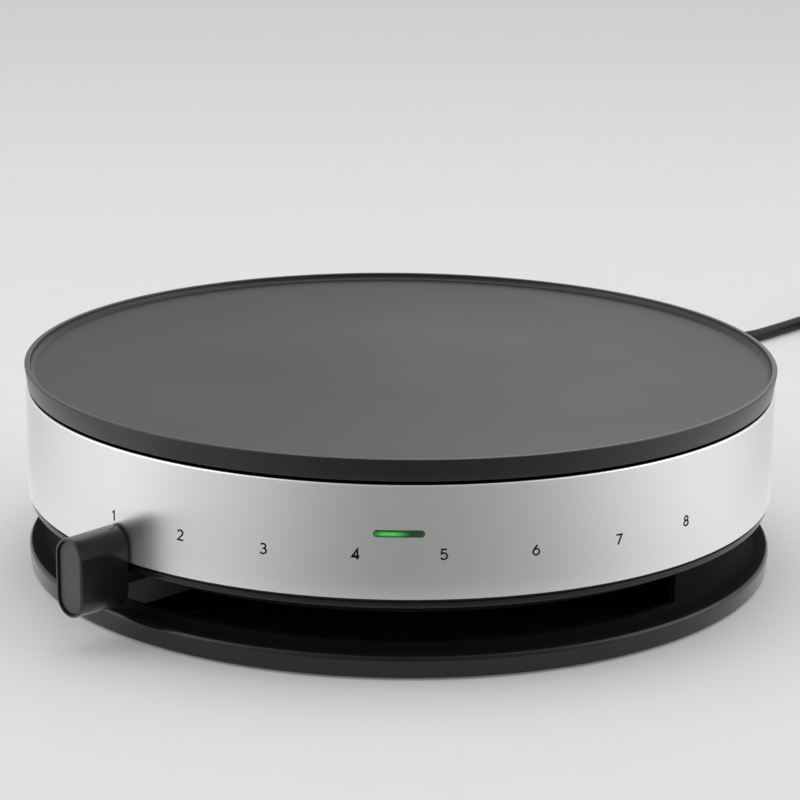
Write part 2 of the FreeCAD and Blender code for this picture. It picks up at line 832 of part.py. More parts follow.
def make_body_shell():
    """Round pan with the lip, the wall under the band, posts, bosses and the shaft's bush."""
    body = turned([
        (spindle_radius + running, lip_bottom),
        (lip_radius, lip_bottom, lip_edge),
        (lip_radius, lip_top, lip_edge),
        (recess_radius, lip_top),
        (recess_radius, band_bottom),
        (shell_outer, band_bottom),
        (shell_outer, shell_top, band_corner - band_thickness),
        (shell_inner, shell_top),
        (shell_inner, lip_top, shell_fillet),
        (bush_radius, lip_top, 1.5),
        (bush_radius, bush_top),
        (spindle_radius + running, bush_top),
    ])
    parts = around(post(post_radius, lip_bottom, shield_level, 0, -post_ring), post_azimuths)
    parts += around(post(boss_radius, cover_top, lip_bottom, 0, -boss_ring), boss_azimuths)
    for side in (-1, 1):
        x = side * clamp_screw_offset
        parts.append(post(boss_radius - 1, cord_level - cord_radius, lip_bottom, x, clamp_place))
    saddle_low = cord_level + cord_radius + slip
    parts.append(block(2 * cord_radius, clamp_width, saddle_low, lip_bottom, 0, clamp_place))
    for side in (-1, 1):
        x = side * block_screw_offset()
        parts.append(post(boss_radius - 1, lip_bottom - 1, lip_bottom, x, block_place))
    body = body.fuse(parts)
    cuts = around(post(m4_screw[0] + slip, lip_bottom - 1, shield_level, 0, -post_ring), post_azimuths)
    cuts += around(post(m4_screw[1] + free_gap, lip_bottom, post_ledge, 0, -post_ring), post_azimuths)
    cuts += around(post(m3_screw[0] + slip, cover_top, cover_screw_tip(), 0, -boss_ring), boss_azimuths)
    for side in (-1, 1):
        x = side * clamp_screw_offset
        cuts.append(post(m3_screw[0] + slip, cord_level - cord_radius, lip_bottom, x, clamp_place))
        x = side * block_screw_offset()
        cuts.append(post(m3_screw[0] + slip, lip_bottom - 1, lip_top - block_screw_skin, x, block_place))
    cuts.append(post(lead_hole_radius, lip_bottom, lip_top, 0, lead_hole_place))
    flange = 2 * (lens_flange_border + slip)
    seat_near = shell_outer - lens_flange_thickness - slip
    seat = flat_stadium(pilot_length + flange, pilot_height + flange, pilot_level, shell_inner, band_radius)
    cuts.append(seat.common(pilot_ring(seat_near, band_radius)))
    cuts.append(flat_stadium(pilot_length, pilot_height, pilot_level, shell_inner - 5, band_radius))
    return body.cut(cuts).removeSplitter()


def block_screw_offset():
    return block_length / 2 + 4


def cover_screw_tip():
    return lip_bottom - 4


def pilot_ring(inner, outer):
    """Ring of the wall at the pilot light's level."""
    return ring(inner, outer, pilot_level - holder_height, pilot_level + holder_height)


def make_indicator_lens():
    shell_ring = pilot_ring(band_inner - slip - lens_flange_thickness, band_inner - slip)
    length = pilot_length + 2 * lens_flange_border
    height = pilot_height + 2 * lens_flange_border
    flange = flat_stadium(length, height, pilot_level, shell_inner, band_radius + 5).common(shell_ring)
    front_ring = pilot_ring(band_inner - slip - lens_flange_thickness / 2, band_radius + lens_proud)
    length = pilot_length - 2 * slip
    height = pilot_height - 2 * slip
    window = flat_stadium(length, height, pilot_level, shell_inner, band_radius + 5)
    return flange.fuse(window.common(front_ring)).removeSplitter()


def lamp_place():
    return shell_inner - holder_depth + holder_wall + slip + lamp_radius


def make_lamp_holder():
    """Open cradle behind the window, its back on the shell's inner wall."""
    near = shell_inner - holder_depth
    outer_ring = pilot_ring(near - holder_depth, shell_inner - slip)
    low = pilot_level - holder_height / 2
    high = pilot_level + holder_height / 2
    body = block(holder_length, 2 * holder_depth, low, high, 0, -shell_inner + 2).common(outer_ring)
    body = body.common(block(holder_length, holder_depth, low, high, 0, -near - holder_depth / 2))
    y = -near - holder_depth / 2 - holder_wall
    hollow = block(lamp_length + 2 * slip, holder_depth, low + holder_wall, high - holder_wall, 0, y)
    return body.cut(hollow)


def make_indicator_lamp():
    """Glass capsule lying along the slot in its cradle."""
    reach = lamp_length / 2 - lamp_radius
    y = -lamp_place()
    core = Part.makeCylinder(lamp_radius, 2 * reach, Vec(-reach, y, pilot_level), Vec(1, 0, 0))
    ends = [Part.makeSphere(lamp_radius, Vec(side * reach, y, pilot_level)) for side in (-1, 1)]
    return core.fuse(ends).removeSplitter()


# Base: tray, cover, feet

def make_base_tray():
    """Outer wall, top ring, cove and core wall in one shell, open below."""
    cove_inner = core_radius - base_wall
    deck = base_top - base_wall
    wall_inner = base_foot_radius - base_wall
    body = turned([
        (wall_inner, base_lift),
        (base_foot_radius, base_lift, 0.6),
        (base_radius, base_top, base_edge),
        (core_radius, base_top, cove_radius),
        (core_radius, lip_bottom),
        (cove_inner, lip_bottom),
        (cove_inner, cover_top),
        (cove_inner + base_wall, cover_top),
        (cove_inner + base_wall, deck),
        (wall_inner, deck),
    ])
    wedge = slot_wedge()
    inside = Vec(0, core_radius - 2 * base_wall, cord_level)
    cord_hole = Part.makeCylinder(relief_root_radius + slip, 4 * base_wall, inside, Vec(0, 1, 0))
    return body.cut([wedge, cord_hole]).removeSplitter()


def slot_wedge():
    """The arm's slot: a sector of a ring through the core wall at the front."""
    sector = ring(core_radius - 6, core_radius + 2.2, slot_bottom, slot_top)
    reach = 2 * core_radius
    left = math.radians(-90 - slot_half_deg)
    right = math.radians(-90 + slot_half_deg)
    edges = [
        Part.LineSegment(CENTRE, Vec(reach * math.cos(left), reach * math.sin(left), 0)).toShape(),
        Part.Arc(
            Vec(reach * math.cos(left), reach * math.sin(left), 0),
            Vec(0, -reach, 0),
            Vec(reach * math.cos(right), reach * math.sin(right), 0),
        ).toShape(),
        Part.LineSegment(Vec(reach * math.cos(right), reach * math.sin(right), 0), CENTRE).toShape(),
    ]
    pie = Part.Face(Part.Wire(edges)).extrude(Vec(0, 0, lip_bottom))
    return sector.common(pie)


def make_bottom_cover():
    outer = base_foot_radius - base_wall - slip
    disc = ring(0.0, outer, cover_lift, cover_top)
    stem_high = cover_top + foot_cup_depth
    cup_low = cover_lift + foot_cup_depth
    cups = around(post(foot_radius + foot_cup_wall, cover_lift, stem_high, 0, -foot_ring), foot_azimuths)
    pads = around(post(boss_radius + 1.5, cover_lift, cover_top, 0, -boss_ring), boss_azimuths)
    body = disc.fuse(cups + pads)
    cuts = around(post(foot_radius + slip, cover_lift, cup_low, 0, -foot_ring), foot_azimuths)
    cuts += around(post(foot_stem_radius + slip, cover_lift, stem_high, 0, -foot_ring), foot_azimuths)
    cuts += around(post(m3_screw[0] + slip, cover_lift, cover_top, 0, -boss_ring), boss_azimuths)
    cuts += around(post(m3_screw[1] + slip, cover_lift, cover_screw_seat(), 0, -boss_ring), boss_azimuths)
    low = Vec(0, 0, cover_lift)
    half_width = vent_width / 2
    slot = flat_face([
        (-half_width, -vent_ring - vent_length / 2, half_width * 0.98),
        (half_width, -vent_ring - vent_length / 2, half_width * 0.98),
        (half_width, -vent_ring + vent_length / 2, half_width * 0.98),
        (-half_width, -vent_ring + vent_length / 2, half_width * 0.98),
    ], lambda x, y: Vec(x, y, 0) + low).extrude(Vec(0, 0, cover_thickness))
    cuts += around(slot, steps_round(vent_count))
    return body.cut(cuts).removeSplitter()


def cover_screw_seat():
    return cover_lift + cover_thickness / 2


def make_cover_screws():
    seat = cover_screw_seat()
    low = cover_lift + slip
    length = m3_screw[1] * 1.2
    shank = post(m3_screw[0], seat, cover_screw_tip() - slip, 0, -boss_ring)
    head = post(m3_screw[1], low, seat, 0, -boss_ring)
    socket = block(length, screw_cross, low, low + screw_socket / 2, 0, -boss_ring)
    cross = block(screw_cross, length, low, low + screw_socket / 2, 0, -boss_ring)
    return group(around(shank.fuse(head).cut([socket, cross]), boss_azimuths))


def make_rubber_feet():
    pad_high = cover_lift + foot_cup_depth
    foot = turned([
        (0, 0),
        (foot_radius - 1, 0, 0.8),
        (foot_radius, pad_high),
        (foot_stem_radius, pad_high),
        (foot_stem_radius, pad_high + cover_thickness - 0.2),
        (0, pad_high + cover_thickness - 0.2),
    ])
    foot.translate(Vec(0, -foot_ring, 0))
    return group(around(foot, foot_azimuths))


# Mains entry and inner wiring

def make_strain_relief():
    """Tapered guard with rings, its flange inside the core wall."""
    inside = core_radius - base_wall - relief_flange_thickness - relief_flange_room
    share = relief_length / (2 * relief_ring_count)
    step = (relief_root_radius - relief_tip_radius) / (2 * relief_ring_count)
    corners = [
        (0, inside),
        (relief_flange_radius, inside),
        (relief_flange_radius, inside + relief_flange_thickness),
        (relief_root_radius, inside + relief_flange_thickness),
        (relief_root_radius, core_radius + share),
    ]
    for index in range(1, relief_ring_count):
        radius = relief_root_radius - 2 * step * index
        along = core_radius + 2 * share * index
        corners.append((radius - relief_groove, along - share * 0.5))
        corners.append((radius - relief_groove, along))
        corners.append((radius, along))
        corners.append((radius, along + share))
    corners.append((relief_tip_radius, relief_tip, 0.4))
    corners.append((0, relief_tip))
    points = flat_face(corners, lambda radius, along: Vec(radius, along, 0))
    guard = points.revolve(CENTRE, Vec(0, 1, 0), 360)
    guard.translate(Vec(0, 0, cord_level))
    return guard


def make_inner_cord():
    start = core_radius - base_wall - relief_flange_thickness - relief_flange_room
    length = start - inner_cord_end
    return Part.makeCylinder(cord_radius, length, Vec(0, inner_cord_end, cord_level), Vec(0, 1, 0))


def make_cord_clamp():
    high = cord_level - cord_radius
    bar = block(clamp_length, clamp_width, high - clamp_thickness, high, 0, clamp_place, 2.0)
    holes = []
    for side in (-1, 1):
        x = side * clamp_screw_offset
        holes.append(post(m3_screw[0] + slip, high - clamp_thickness, high, x, clamp_place))
    return bar.cut(holes)


def make_clamp_screws():
    seat = cord_level - cord_radius - clamp_thickness
    screws = []
    for side in (-1, 1):
        screws.append(screw(m3_screw, seat, lip_bottom - 2, side * clamp_screw_offset, clamp_place))
    return group(screws)


def make_terminal_block():
    high = lip_bottom - 1
    low = high - block_height
    body = block(block_length, block_width, low, high, 0, block_place, 1.5)
    ears = []
    for side in (-1, 1):
        x = side * (block_length / 2 + block_ear_length / 2 - 1)
        ears.append(block(block_ear_length, block_ear_width, high - block_ear_height, high, x, block_place))
    cuts = []
    for index in (-1, 0, 1):
        x = index * block_pole_pitch
        well = post(block_well_radius, low, low + block_well_depth, x, block_place)
        mouth = Vec(x, block_place - block_width / 2, block_way_level())
        way = Part.makeCylinder(lead_radius + lead_room, block_width, mouth, Vec(0, 1, 0))
        cuts += [well, way]
    for side in (-1, 1):
        x = side * block_screw_offset()
        cuts.append(post(m3_screw[0] + slip, high - block_ear_height, high, x, block_place))
    return body.fuse(ears).cut(cuts).removeSplitter()


def make_block_screws():
    seat = lip_bottom - 1 - block_ear_height
    tip = lip_top - block_screw_skin - slip
    screws = []
    for side in (-1, 1):
        screws.append(screw(m3_screw, seat, tip, side * block_screw_offset(), block_place))
    return group(screws)


def lead(points):
    """Inner lead through a few points, with even bends."""
    places = [Vec(*point) for point in points]
    radii = [0] + [lead_bend] * (len(places) - 2) + [0]
    return tube(rounded_wire(places, radii, False), lead_radius)


def block_way_level():
    return lip_bottom - 1 - block_height + block_way_lift


def make_cord_cores():
    """Three short cores from the sheath's end into the terminal block."""
    way = block_way_level()
    near = block_place + block_width / 2 + lead_bend
    cores = []
    for index in (-1, 0, 1):
        start = index * lead_pitch
        x = index * block_pole_pitch
        points = [(start, inner_cord_end, cord_level), (start, inner_cord_end - lead_bend, cord_level)]
        cores.append(lead(points + [(x, near, way), (x, block_place + 2, way)]))
    return group(cores)


def riser(index):
    """Points of a lead from the terminal block up through the hole in the shell's floor."""
    x = index * block_pole_pitch
    way = block_way_level()
    near = block_place - block_width / 2
    hole_x = index * lead_hole_pitch
    return [
        (x, block_place - 2, way),
        (x, near - lead_bend + 1, way),
        (hole_x, lead_hole_place, way + lead_lift),
        (hole_x, lead_hole_place, lip_top + lead_lift),
    ]


def to_thermostat(side):
    """Last points of a lead that ends at a blade of the thermostat."""
    tip = stat_length / 2 + blade_length + slip
    level = stat_bottom + stat_blade_lift + blade_thickness / 2
    return [(side * (tip + lead_drop), 0, level - lead_bend + 1), (side * tip, 0, level)]


def to_element(side):
    """Last points of a lead that ends under a blade of the element."""
    spot = element_tail_spot(side)
    low = spot.z - bead_height - blade_length - slip
    return [(spot.x, spot.y, lip_top + lead_lift), (spot.x, spot.y, low)]


def make_neutral_lead():
    return lead(riser(1) + to_element(1))


def make_live_lead():
    crossing = (lead_arch_side, lead_arch_side, lip_top + lead_arch)
    return lead(riser(0) + [crossing] + to_thermostat(1))


def make_earth_lead():
    head = pad_bottom - m4_screw[2] - slip
    crossing = (0, lead_arch_side, lip_top + lead_arch)
    place = earth_screw_place()
    return lead(riser(-1) + [crossing, (0, place, head - lead_drop - lead_bend), (0, place, head)])


def make_load_lead():
    crossing = (-lead_arch_side, lead_arch_side + lead_bend, lip_top + lead_arch)
    return lead(to_thermostat(-1)[::-1] + [crossing] + to_element(-1))


def make_lamp_leads():
    """Two leads from the lamp's cradle back to the thermostat, one on each side of the front post."""
    near = shell_inner - holder_depth
    leads = []
    for side in (-1, 1):
        x = side * (post_radius + lead_radius + 1)
        leads.append(lead([
            (x, -near + slip, pilot_level - 2),
            (x, -near + lead_bend + 2, pilot_level - 2),
            (x, -near + lamp_lead_run, lip_top + 2 * lead_lift),
            (x, -post_ring / 2, lip_top + 2 * lead_lift - 2),
            (x, -stat_width / 3, lip_top + lead_arch),
            (x, -stat_width / 3, stat_bottom - slip),
        ]))
    return group(leads)


def make_earth_screw():
    return screw(m4_screw, pad_bottom, underside - slip, 0, earth_screw_place())


# Cord on the table, its coil, and the plug

def route_radii(points):
    """Arc radii of a cord's route: each arc is as large as its two runs allow."""
    radii = [0]
    for index in range(1, len(points) - 1):
        before, corner, after = points[index - 1:index + 2]
        shorter = min((corner - before).Length, (after - corner).Length)
        radii.append(0.45 * shorter / math.tan(turn_at(before, corner, after) / 2))
    radii.append(0)
    return radii


def make_cord_tube(points, name):
    radii = route_radii(points)
    path = rounded_wire(points, radii, False)
    solid = tube(path, cord_radius)
    section = math.pi * cord_radius ** 2
    tight = min(radii[1:-1])
    runs = [(b - a).Length for a, b in zip(points, points[1:])]
    print(name, "length %.1f" % path.Length, "tightest radius %.1f" % tight,
          "runs %.0f to %.0f" % (min(runs), max(runs)))
    print(name, "radii", " ".join("%.0f" % radius for radius in radii[1:-1]))
    print(name, "volume over section times length %.5f" % (solid.Volume / (section * path.Length)))
    return solid


def coil_spot(turn):
    """Place and heading on the coil after a number of turns: in, up one layer, and out again."""
    middle = coil_turns / 2
    radius = coil_inner_radius + coil_pitch * abs(turn - middle)
    spread = coil_pitch * ((turn > middle) - (turn < middle))
    angle = coil_start_angle - 2 * math.pi * turn
    share = min(max((turn - middle + 0.25) / 0.5, 0.0), 1.0)
    height = cord_rest + coil_pitch * share * share * (3 - 2 * share)
    climb = coil_pitch * 6 * share * (1 - share) / 0.5
    outward = Vec(math.cos(angle), math.sin(angle), 0)
    forward = Vec(math.sin(angle), -math.cos(angle), 0)
    place = Vec(coil_right, relief_tip + coil_behind, height) + outward * radius
    heading = outward * spread + forward * (2 * math.pi * radius) + UP * climb
    return place, unit(heading)


def biarc(place_a, heading_a, place_b, heading_b):
    """Two tangent arcs from one place and heading to another."""
    span = place_b - place_a
    both = heading_a + heading_b
    bend = 2 * (1 - heading_a.dot(heading_b))
    along = span.dot(both)
    reach = (math.sqrt(along * along + bend * span.dot(span)) - along) / bend
    first = place_a + heading_a * reach
    second = place_b - heading_b * reach
    joint = (first + second) * 0.5
    arc_a = corner_arc(place_a, first, joint, reach)[0]
    arc_b = corner_arc(joint, second, place_b, reach)[0]
    return [arc_a.toShape(), arc_b.toShape()]


def coil_path():
    quarters = int(round(coil_turns * 4))
    spots = [coil_spot(index / 4.0) for index in range(quarters + 1)]
    first, heading = spots[0]
    edges = [Part.LineSegment(first - heading * cord_diameter, first).toShape()]
    for (place_a, heading_a), (place_b, heading_b) in zip(spots, spots[1:]):
        edges += biarc(place_a, heading_a, place_b, heading_b)
    last, heading = spots[-1]
    edges.append(Part.LineSegment(last, last + heading * cord_diameter).toShape())
    return Part.Wire(edges)


def coil_start():
    place, heading = coil_spot(0)
    return place - heading * cord_diameter


def coil_end():
    place, heading = coil_spot(coil_turns)
    return place + heading * cord_diameter


def least_gap(path):
    """Least gap of a cord to itself, measured between points a few millimetres apart."""
    points = path.discretize(Distance=1.5)
    step = path.Length / (len(points) - 1)
    apart = int(4 * cord_diameter / step)
    least = None
    for index, point in enumerate(points):
        for other in points[index + apart:]:
            distance = point.distanceToPoint(other)
            if least is None or distance < least:
                least = distance
    return least - cord_diameter


def make_cord_coil():
    path = coil_path()
    solid = tube(path, cord_radius)
    section = math.pi * cord_radius ** 2
    print("cord_coil length %.1f" % path.Length, "least gap %.2f" % least_gap(path))
    print("cord_coil volume over section times length %.5f" % (solid.Volume / (section * path.Length)))
    return solid


def tail_points():
    start = coil_end()
    straight_on = coil_spot(coil_turns)[1] * tail_lead
    return [start, start + straight_on] + [start + Vec(*step) for step in tail_steps]


def plug_heading():
    points = tail_points()
    return unit(points[-1] - points[-2])


def set_at_plug(shape):
    """Turn a piece made along +X into the plug's place at the end of the tail."""
    heading = plug_heading()
    copy = shape.copy()
    copy.rotate(CENTRE, UP, math.degrees(math.atan2(heading.y, heading.x)))
    copy.translate(tail_points()[-1])
    return copy


def plug_slot(side):
    """Groove of an earth contact along the plug's upper or lower side."""
    low = side * (plug_radius - plug_slot_depth)
    high = side * (plug_radius + 1)
    slot = block(plug_length - plug_shoulder + 1, plug_slot_width, min(low, high), max(low, high))
    slot.translate(Vec(plug_shoulder + (plug_length - plug_shoulder) / 2 + 1, 0, 0))
    return slot


def make_power_plug():
    face = flat_face([
        (0, 0),
        (0, plug_neck_radius, 1.0),
        (plug_shoulder * 0.45, plug_neck_radius + plug_neck_flare, 6.0),
        (plug_shoulder, plug_radius, 4.0),
        (plug_length, plug_radius, 1.2),
        (plug_length, 0),
    ], lambda along, radius: Vec(along, radius, 0))
    body = face.revolve(CENTRE, Vec(1, 0, 0), 360)
    cuts = [plug_slot(1), plug_slot(-1)]
    mouth = Vec(plug_length - plug_earth_depth, 0, plug_radius * 0.45)
    cuts.append(Part.makeCylinder(plug_earth_radius, plug_earth_depth, mouth, Vec(1, 0, 0)))
    return set_at_plug(body.cut(cuts).removeSplitter())


def make_plug_pins():
    pins = []
    for side in (-1, 1):
        pin = Part.makeCylinder(pin_radius, pin_length, Vec(plug_length, side * pin_offset, 0), Vec(1, 0, 0))
        tip = [edge for edge in pin.Edges if edge.BoundBox.XMin > plug_length + pin_length - slip]
        pins.append(set_at_plug(pin.makeFillet(pin_radius * 0.8, tip)))
    return group(pins)


def make_plug_contacts():
    strips = []
    for side in (-1, 1):
        low = side * (plug_radius - plug_slot_depth)
        high = low + side * contact_thickness
        middle = plug_length - 1 - contact_length / 2
        strip = block(contact_length, plug_slot_width - 1, min(low, high), max(low, high), middle, 0, 1.0)
        strips.append(set_at_plug(strip))
    return group(strips)


def make_power_cord():
    heading = coil_spot(0)[1]
    points = [Vec(right, relief_tip + behind, level) for right, behind, level in cord_route]
    points += [coil_start() - heading * coil_lead, coil_start()]
    return make_cord_tube(points, "power_cord")


def make_cord_tail():
    return make_cord_tube(tail_points(), "cord_tail")


pieces = {
    "griddle_plate": make_griddle_plate,
    "heating_element": make_heating_element,
    "element_terminals": make_element_terminals,
    "element_clips": make_element_clips,
    "clip_screws": make_clip_screws,
    "thermal_cutout": make_thermal_cutout,
    "cutout_clip": make_cutout_clip,
    "cutout_screws": make_cutout_screws,
    "heat_shield": make_heat_shield,
    "plate_spacers": make_plate_spacers,
    "plate_screws": make_plate_screws,
    "thermostat_body": make_thermostat_body,
    "thermostat_bracket": make_thermostat_bracket,
    "bracket_screws": make_bracket_screws,
    "thermostat_spindle": make_thermostat_spindle,
    "slider_arm": make_slider_arm,
    "arm_screw": make_arm_screw,
    "slider_knob": make_slider_knob,
    "knob_panel": make_knob_panel,
    "steel_band": make_steel_band,
    "body_shell": make_body_shell,
    "indicator_lens": make_indicator_lens,
    "lamp_holder": make_lamp_holder,
    "indicator_lamp": make_indicator_lamp,
    "base_tray": make_base_tray,
    "bottom_cover": make_bottom_cover,
    "cover_screws": make_cover_screws,
    "rubber_feet": make_rubber_feet,
    "strain_relief": make_strain_relief,
    "inner_cord": make_inner_cord,
    "cord_clamp": make_cord_clamp,
    "clamp_screws": make_clamp_screws,
    "terminal_block": make_terminal_block,
    "block_screws": make_block_screws,
    "cord_cores": make_cord_cores,
    "live_lead": make_live_lead,
    "neutral_lead": make_neutral_lead,
    "earth_lead": make_earth_lead,
    "load_lead": make_load_lead,
    "lamp_leads": make_lamp_leads,
    "earth_screw": make_earth_screw,
    "power_cord": make_power_cord,
    "cord_coil": make_cord_coil,
    "cord_tail": make_cord_tail,
    "power_plug": make_power_plug,
    "plug_pins": make_plug_pins,
    "plug_contacts": make_plug_contacts,
}

for name, make in pieces.items():
    shape = make()
    box = shape.BoundBox
    print("%-20s solids %d valid %s volume %.0f z %.2f to %.2f" % (
        name, len(shape.Solids), shape.isValid(), shape.Volume, box.ZMin, box.ZMax))
    shape.exportStep("parts/" + name + ".step")
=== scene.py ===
import bpy, bmesh, math
from mathutils import Matrix, Vector


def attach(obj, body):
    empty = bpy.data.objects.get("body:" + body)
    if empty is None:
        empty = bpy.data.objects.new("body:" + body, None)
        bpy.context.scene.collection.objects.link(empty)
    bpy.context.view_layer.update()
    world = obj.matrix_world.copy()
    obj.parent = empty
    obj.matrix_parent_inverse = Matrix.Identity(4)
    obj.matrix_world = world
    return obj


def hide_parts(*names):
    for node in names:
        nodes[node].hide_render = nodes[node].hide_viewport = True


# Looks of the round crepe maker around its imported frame. Metres; the front is -Y.

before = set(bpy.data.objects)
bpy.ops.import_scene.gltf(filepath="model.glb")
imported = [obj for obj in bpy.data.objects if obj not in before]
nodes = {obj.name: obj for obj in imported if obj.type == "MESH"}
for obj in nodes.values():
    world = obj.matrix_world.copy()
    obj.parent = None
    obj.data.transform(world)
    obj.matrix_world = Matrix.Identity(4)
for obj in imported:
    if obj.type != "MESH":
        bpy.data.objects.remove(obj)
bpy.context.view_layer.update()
scene = bpy.context.scene
scene.view_settings.view_transform = "Standard"


def linkObject(name, data):
    thing = bpy.data.objects.new(name, data)
    scene.collection.objects.link(thing)
    return thing


# Finishes: one function for what all share, one for each kind

def treeTools(tree):
    def add(kind, **values):
        node = tree.nodes.new(kind)
        for key, value in values.items():
            node.inputs[key.replace("_", " ")].default_value = value
        return node

    def join(output, socket):
        tree.links.new(output, socket)

    return add, join


def newFinish(name, rough=0.4, metal=0.0):
    material = bpy.data.materials.new(name)
    material.use_nodes = True
    tree = material.node_tree
    shader = tree.nodes["Principled BSDF"]
    shader.inputs["Roughness"].default_value = rough
    shader.inputs["Metallic"].default_value = metal
    return material, shader, *treeTools(tree)


def objectCoords(add):
    return add("ShaderNodeTexCoord").outputs["Object"]


def splitCoords(add, join, coords):
    split = add("ShaderNodeSeparateXYZ")
    join(coords, split.inputs[0])
    return [split.outputs[axis] for axis in "XYZ"]


def noiseFrom(add, join, coords, scale, detail, roughness=0.5):
    noise = add("ShaderNodeTexNoise", Scale=scale, Detail=detail, Roughness=roughness)
    join(coords, noise.inputs["Vector"])
    return noise.outputs["Fac"]


def blendColours(add, join, share, first, second, how="MIX"):
    # each colour is three numbers or another node's output
    mix = add("ShaderNodeMix")
    mix.data_type = "RGBA"
    mix.blend_type = how
    join(share, mix.inputs[0])
    sockets = [socket for socket in mix.inputs if socket.type == "RGBA"]
    for colour, socket in zip((first, second), sockets):
        if isinstance(colour, bpy.types.NodeSocket):
            join(colour, socket)
        else:
            socket.default_value = (*colour, 1)
    return [socket for socket in mix.outputs if socket.type == "RGBA"][0]


def remap(add, join, value, low, high, fromLow=0.0, fromHigh=1.0):
    node = add("ShaderNodeMapRange", From_Min=fromLow, From_Max=fromHigh, To_Min=low, To_Max=high)
    join(value, node.inputs["Value"])
    return node.outputs["Result"]


def calc(add, join, operation, first, second=None):
    node = add("ShaderNodeMath")
    node.operation = operation
    for index, value in enumerate((first, second)):
        if value is None:
            continue
        if isinstance(value, (int, float)):
            node.inputs[index].default_value = value
        else:
            join(value, node.inputs[index])
    return node.outputs[0]


def distanceOf(add, join, vector):
    measure = add("ShaderNodeVectorMath")
    measure.operation = "LENGTH"
    join(vector, measure.inputs[0])
    return measure.outputs["Value"]


def axisDistance(add, join, x, y):
    # how far from the upright axis
    flat = add("ShaderNodeCombineXYZ")
    join(x, flat.inputs["X"])
    join(y, flat.inputs["Y"])
    return distanceOf(add, join, flat.outputs[0])


def bumpFrom(add, join, shader, height, distance):
    bump = add("ShaderNodeBump", Strength=1.0, Distance=distance)
    join(height, bump.inputs["Height"])
    join(bump.outputs["Normal"], shader.inputs["Normal"])


noiseSpan = (0.3, 0.7)     # where most of a noise's values lie


mottledFinishes = {
    # name: colour, second colour, roughness low and high, metal, grain size in metres, bump depth in metres
    "knobGloss": ((0.011, 0.011, 0.012), (0.016, 0.016, 0.017), 0.16, 0.24, 0, 0.003, 0.000004),
    "insetGrey": ((0.066, 0.065, 0.070), (0.082, 0.081, 0.087), 0.42, 0.55, 0, 0.0004, 0.00001),
    "armGrey": ((0.095, 0.094, 0.098), (0.115, 0.114, 0.118), 0.34, 0.46, 0, 0.0006, 0.00001),
    "coverGrain": ((0.014, 0.014, 0.015), (0.022, 0.022, 0.023), 0.45, 0.62, 0, 0.0008, 0.00003),
    "footRubber": ((0.018, 0.018, 0.018), (0.030, 0.029, 0.028), 0.70, 0.86, 0, 0.0012, 0.00002),
    "cordSheath": ((0.012, 0.012, 0.013), (0.018, 0.018, 0.019), 0.40, 0.50, 0, 0.0015, 0.00001),
    "plainZinc": ((0.50, 0.51, 0.52), (0.62, 0.62, 0.61), 0.28, 0.45, 1, 0.002, 0.000006),
    "shieldSheet": ((0.56, 0.57, 0.58), (0.66, 0.66, 0.66), 0.32, 0.46, 1, 0.006, 0.00001),
    "heatedSheath": ((0.20, 0.17, 0.15), (0.34, 0.31, 0.29), 0.38, 0.60, 1, 0.003, 0.00001),
    "screwZinc": ((0.52, 0.53, 0.55), (0.66, 0.66, 0.66), 0.22, 0.38, 1, 0.0008, 0.000005),
    "pinNickel": ((0.60, 0.59, 0.55), (0.72, 0.70, 0.66), 0.18, 0.30, 1, 0.002, 0.000004),
    "steatite": ((0.66, 0.64, 0.59), (0.78, 0.76, 0.71), 0.55, 0.72, 0, 0.0010, 0.00002),
    "leadBrown": ((0.16, 0.070, 0.030), (0.21, 0.095, 0.045), 0.40, 0.52, 0, 0.0015, 0.000008),
    "leadBlue": ((0.030, 0.070, 0.27), (0.040, 0.095, 0.34), 0.40, 0.52, 0, 0.0015, 0.000008),
    "leadGreen": ((0.10, 0.28, 0.035), (0.55, 0.50, 0.04), 0.40, 0.52, 0, 0.0030, 0.000008),
    "numeralInk": ((0.004, 0.004, 0.0045), (0.008, 0.008, 0.0085), 0.60, 0.72, 0, 0.0004, 0.000004),
    "lampCapsule": ((0.80, 0.82, 0.76), (0.90, 0.92, 0.84), 0.08, 0.16, 0, 0.002, 0.000004),
}


glossLevels = {"cordSheath": 0.28, "numeralInk": 0.12, "knobGloss": 0.55}    # where it isn't the usual one

mottle = {
    "gloss": 0.5,
    "grainDetail": 3.0,
    "grainRoughness": 0.55,
    "cloudShare": 0.12,        # the slow change's scale against the grain's
    "cloudDetail": 2.0,
}


def makeMottled(name):
    first, second, roughLow, roughHigh, metal, grainSize, depth = mottledFinishes[name]
    material, shader, add, join = newFinish(name, metal=metal)
    shader.inputs["Specular IOR Level"].default_value = glossLevels.get(name, mottle["gloss"])
    coords = objectCoords(add)
    grain = noiseFrom(add, join, coords, 1 / grainSize, mottle["grainDetail"], mottle["grainRoughness"])
    cloud = noiseFrom(add, join, coords, mottle["cloudShare"] / grainSize, mottle["cloudDetail"])
    join(blendColours(add, join, cloud, first, second), shader.inputs["Base Color"])
    join(remap(add, join, cloud, roughLow, roughHigh, *noiseSpan), shader.inputs["Roughness"])
    bumpFrom(add, join, shader, grain, depth)
    return material


def roundCoords(add, join, aroundScale, upScale):
    # unrolls the body's wall: angle round the upright axis across, height up
    x, y, z = splitCoords(add, join, objectCoords(add))
    packed = add("ShaderNodeCombineXYZ")
    angle = calc(add, join, "ARCTAN2", x, y)
    join(calc(add, join, "MULTIPLY", angle, aroundScale), packed.inputs["X"])
    join(calc(add, join, "MULTIPLY", z, upScale), packed.inputs["Y"])
    return packed.outputs[0]


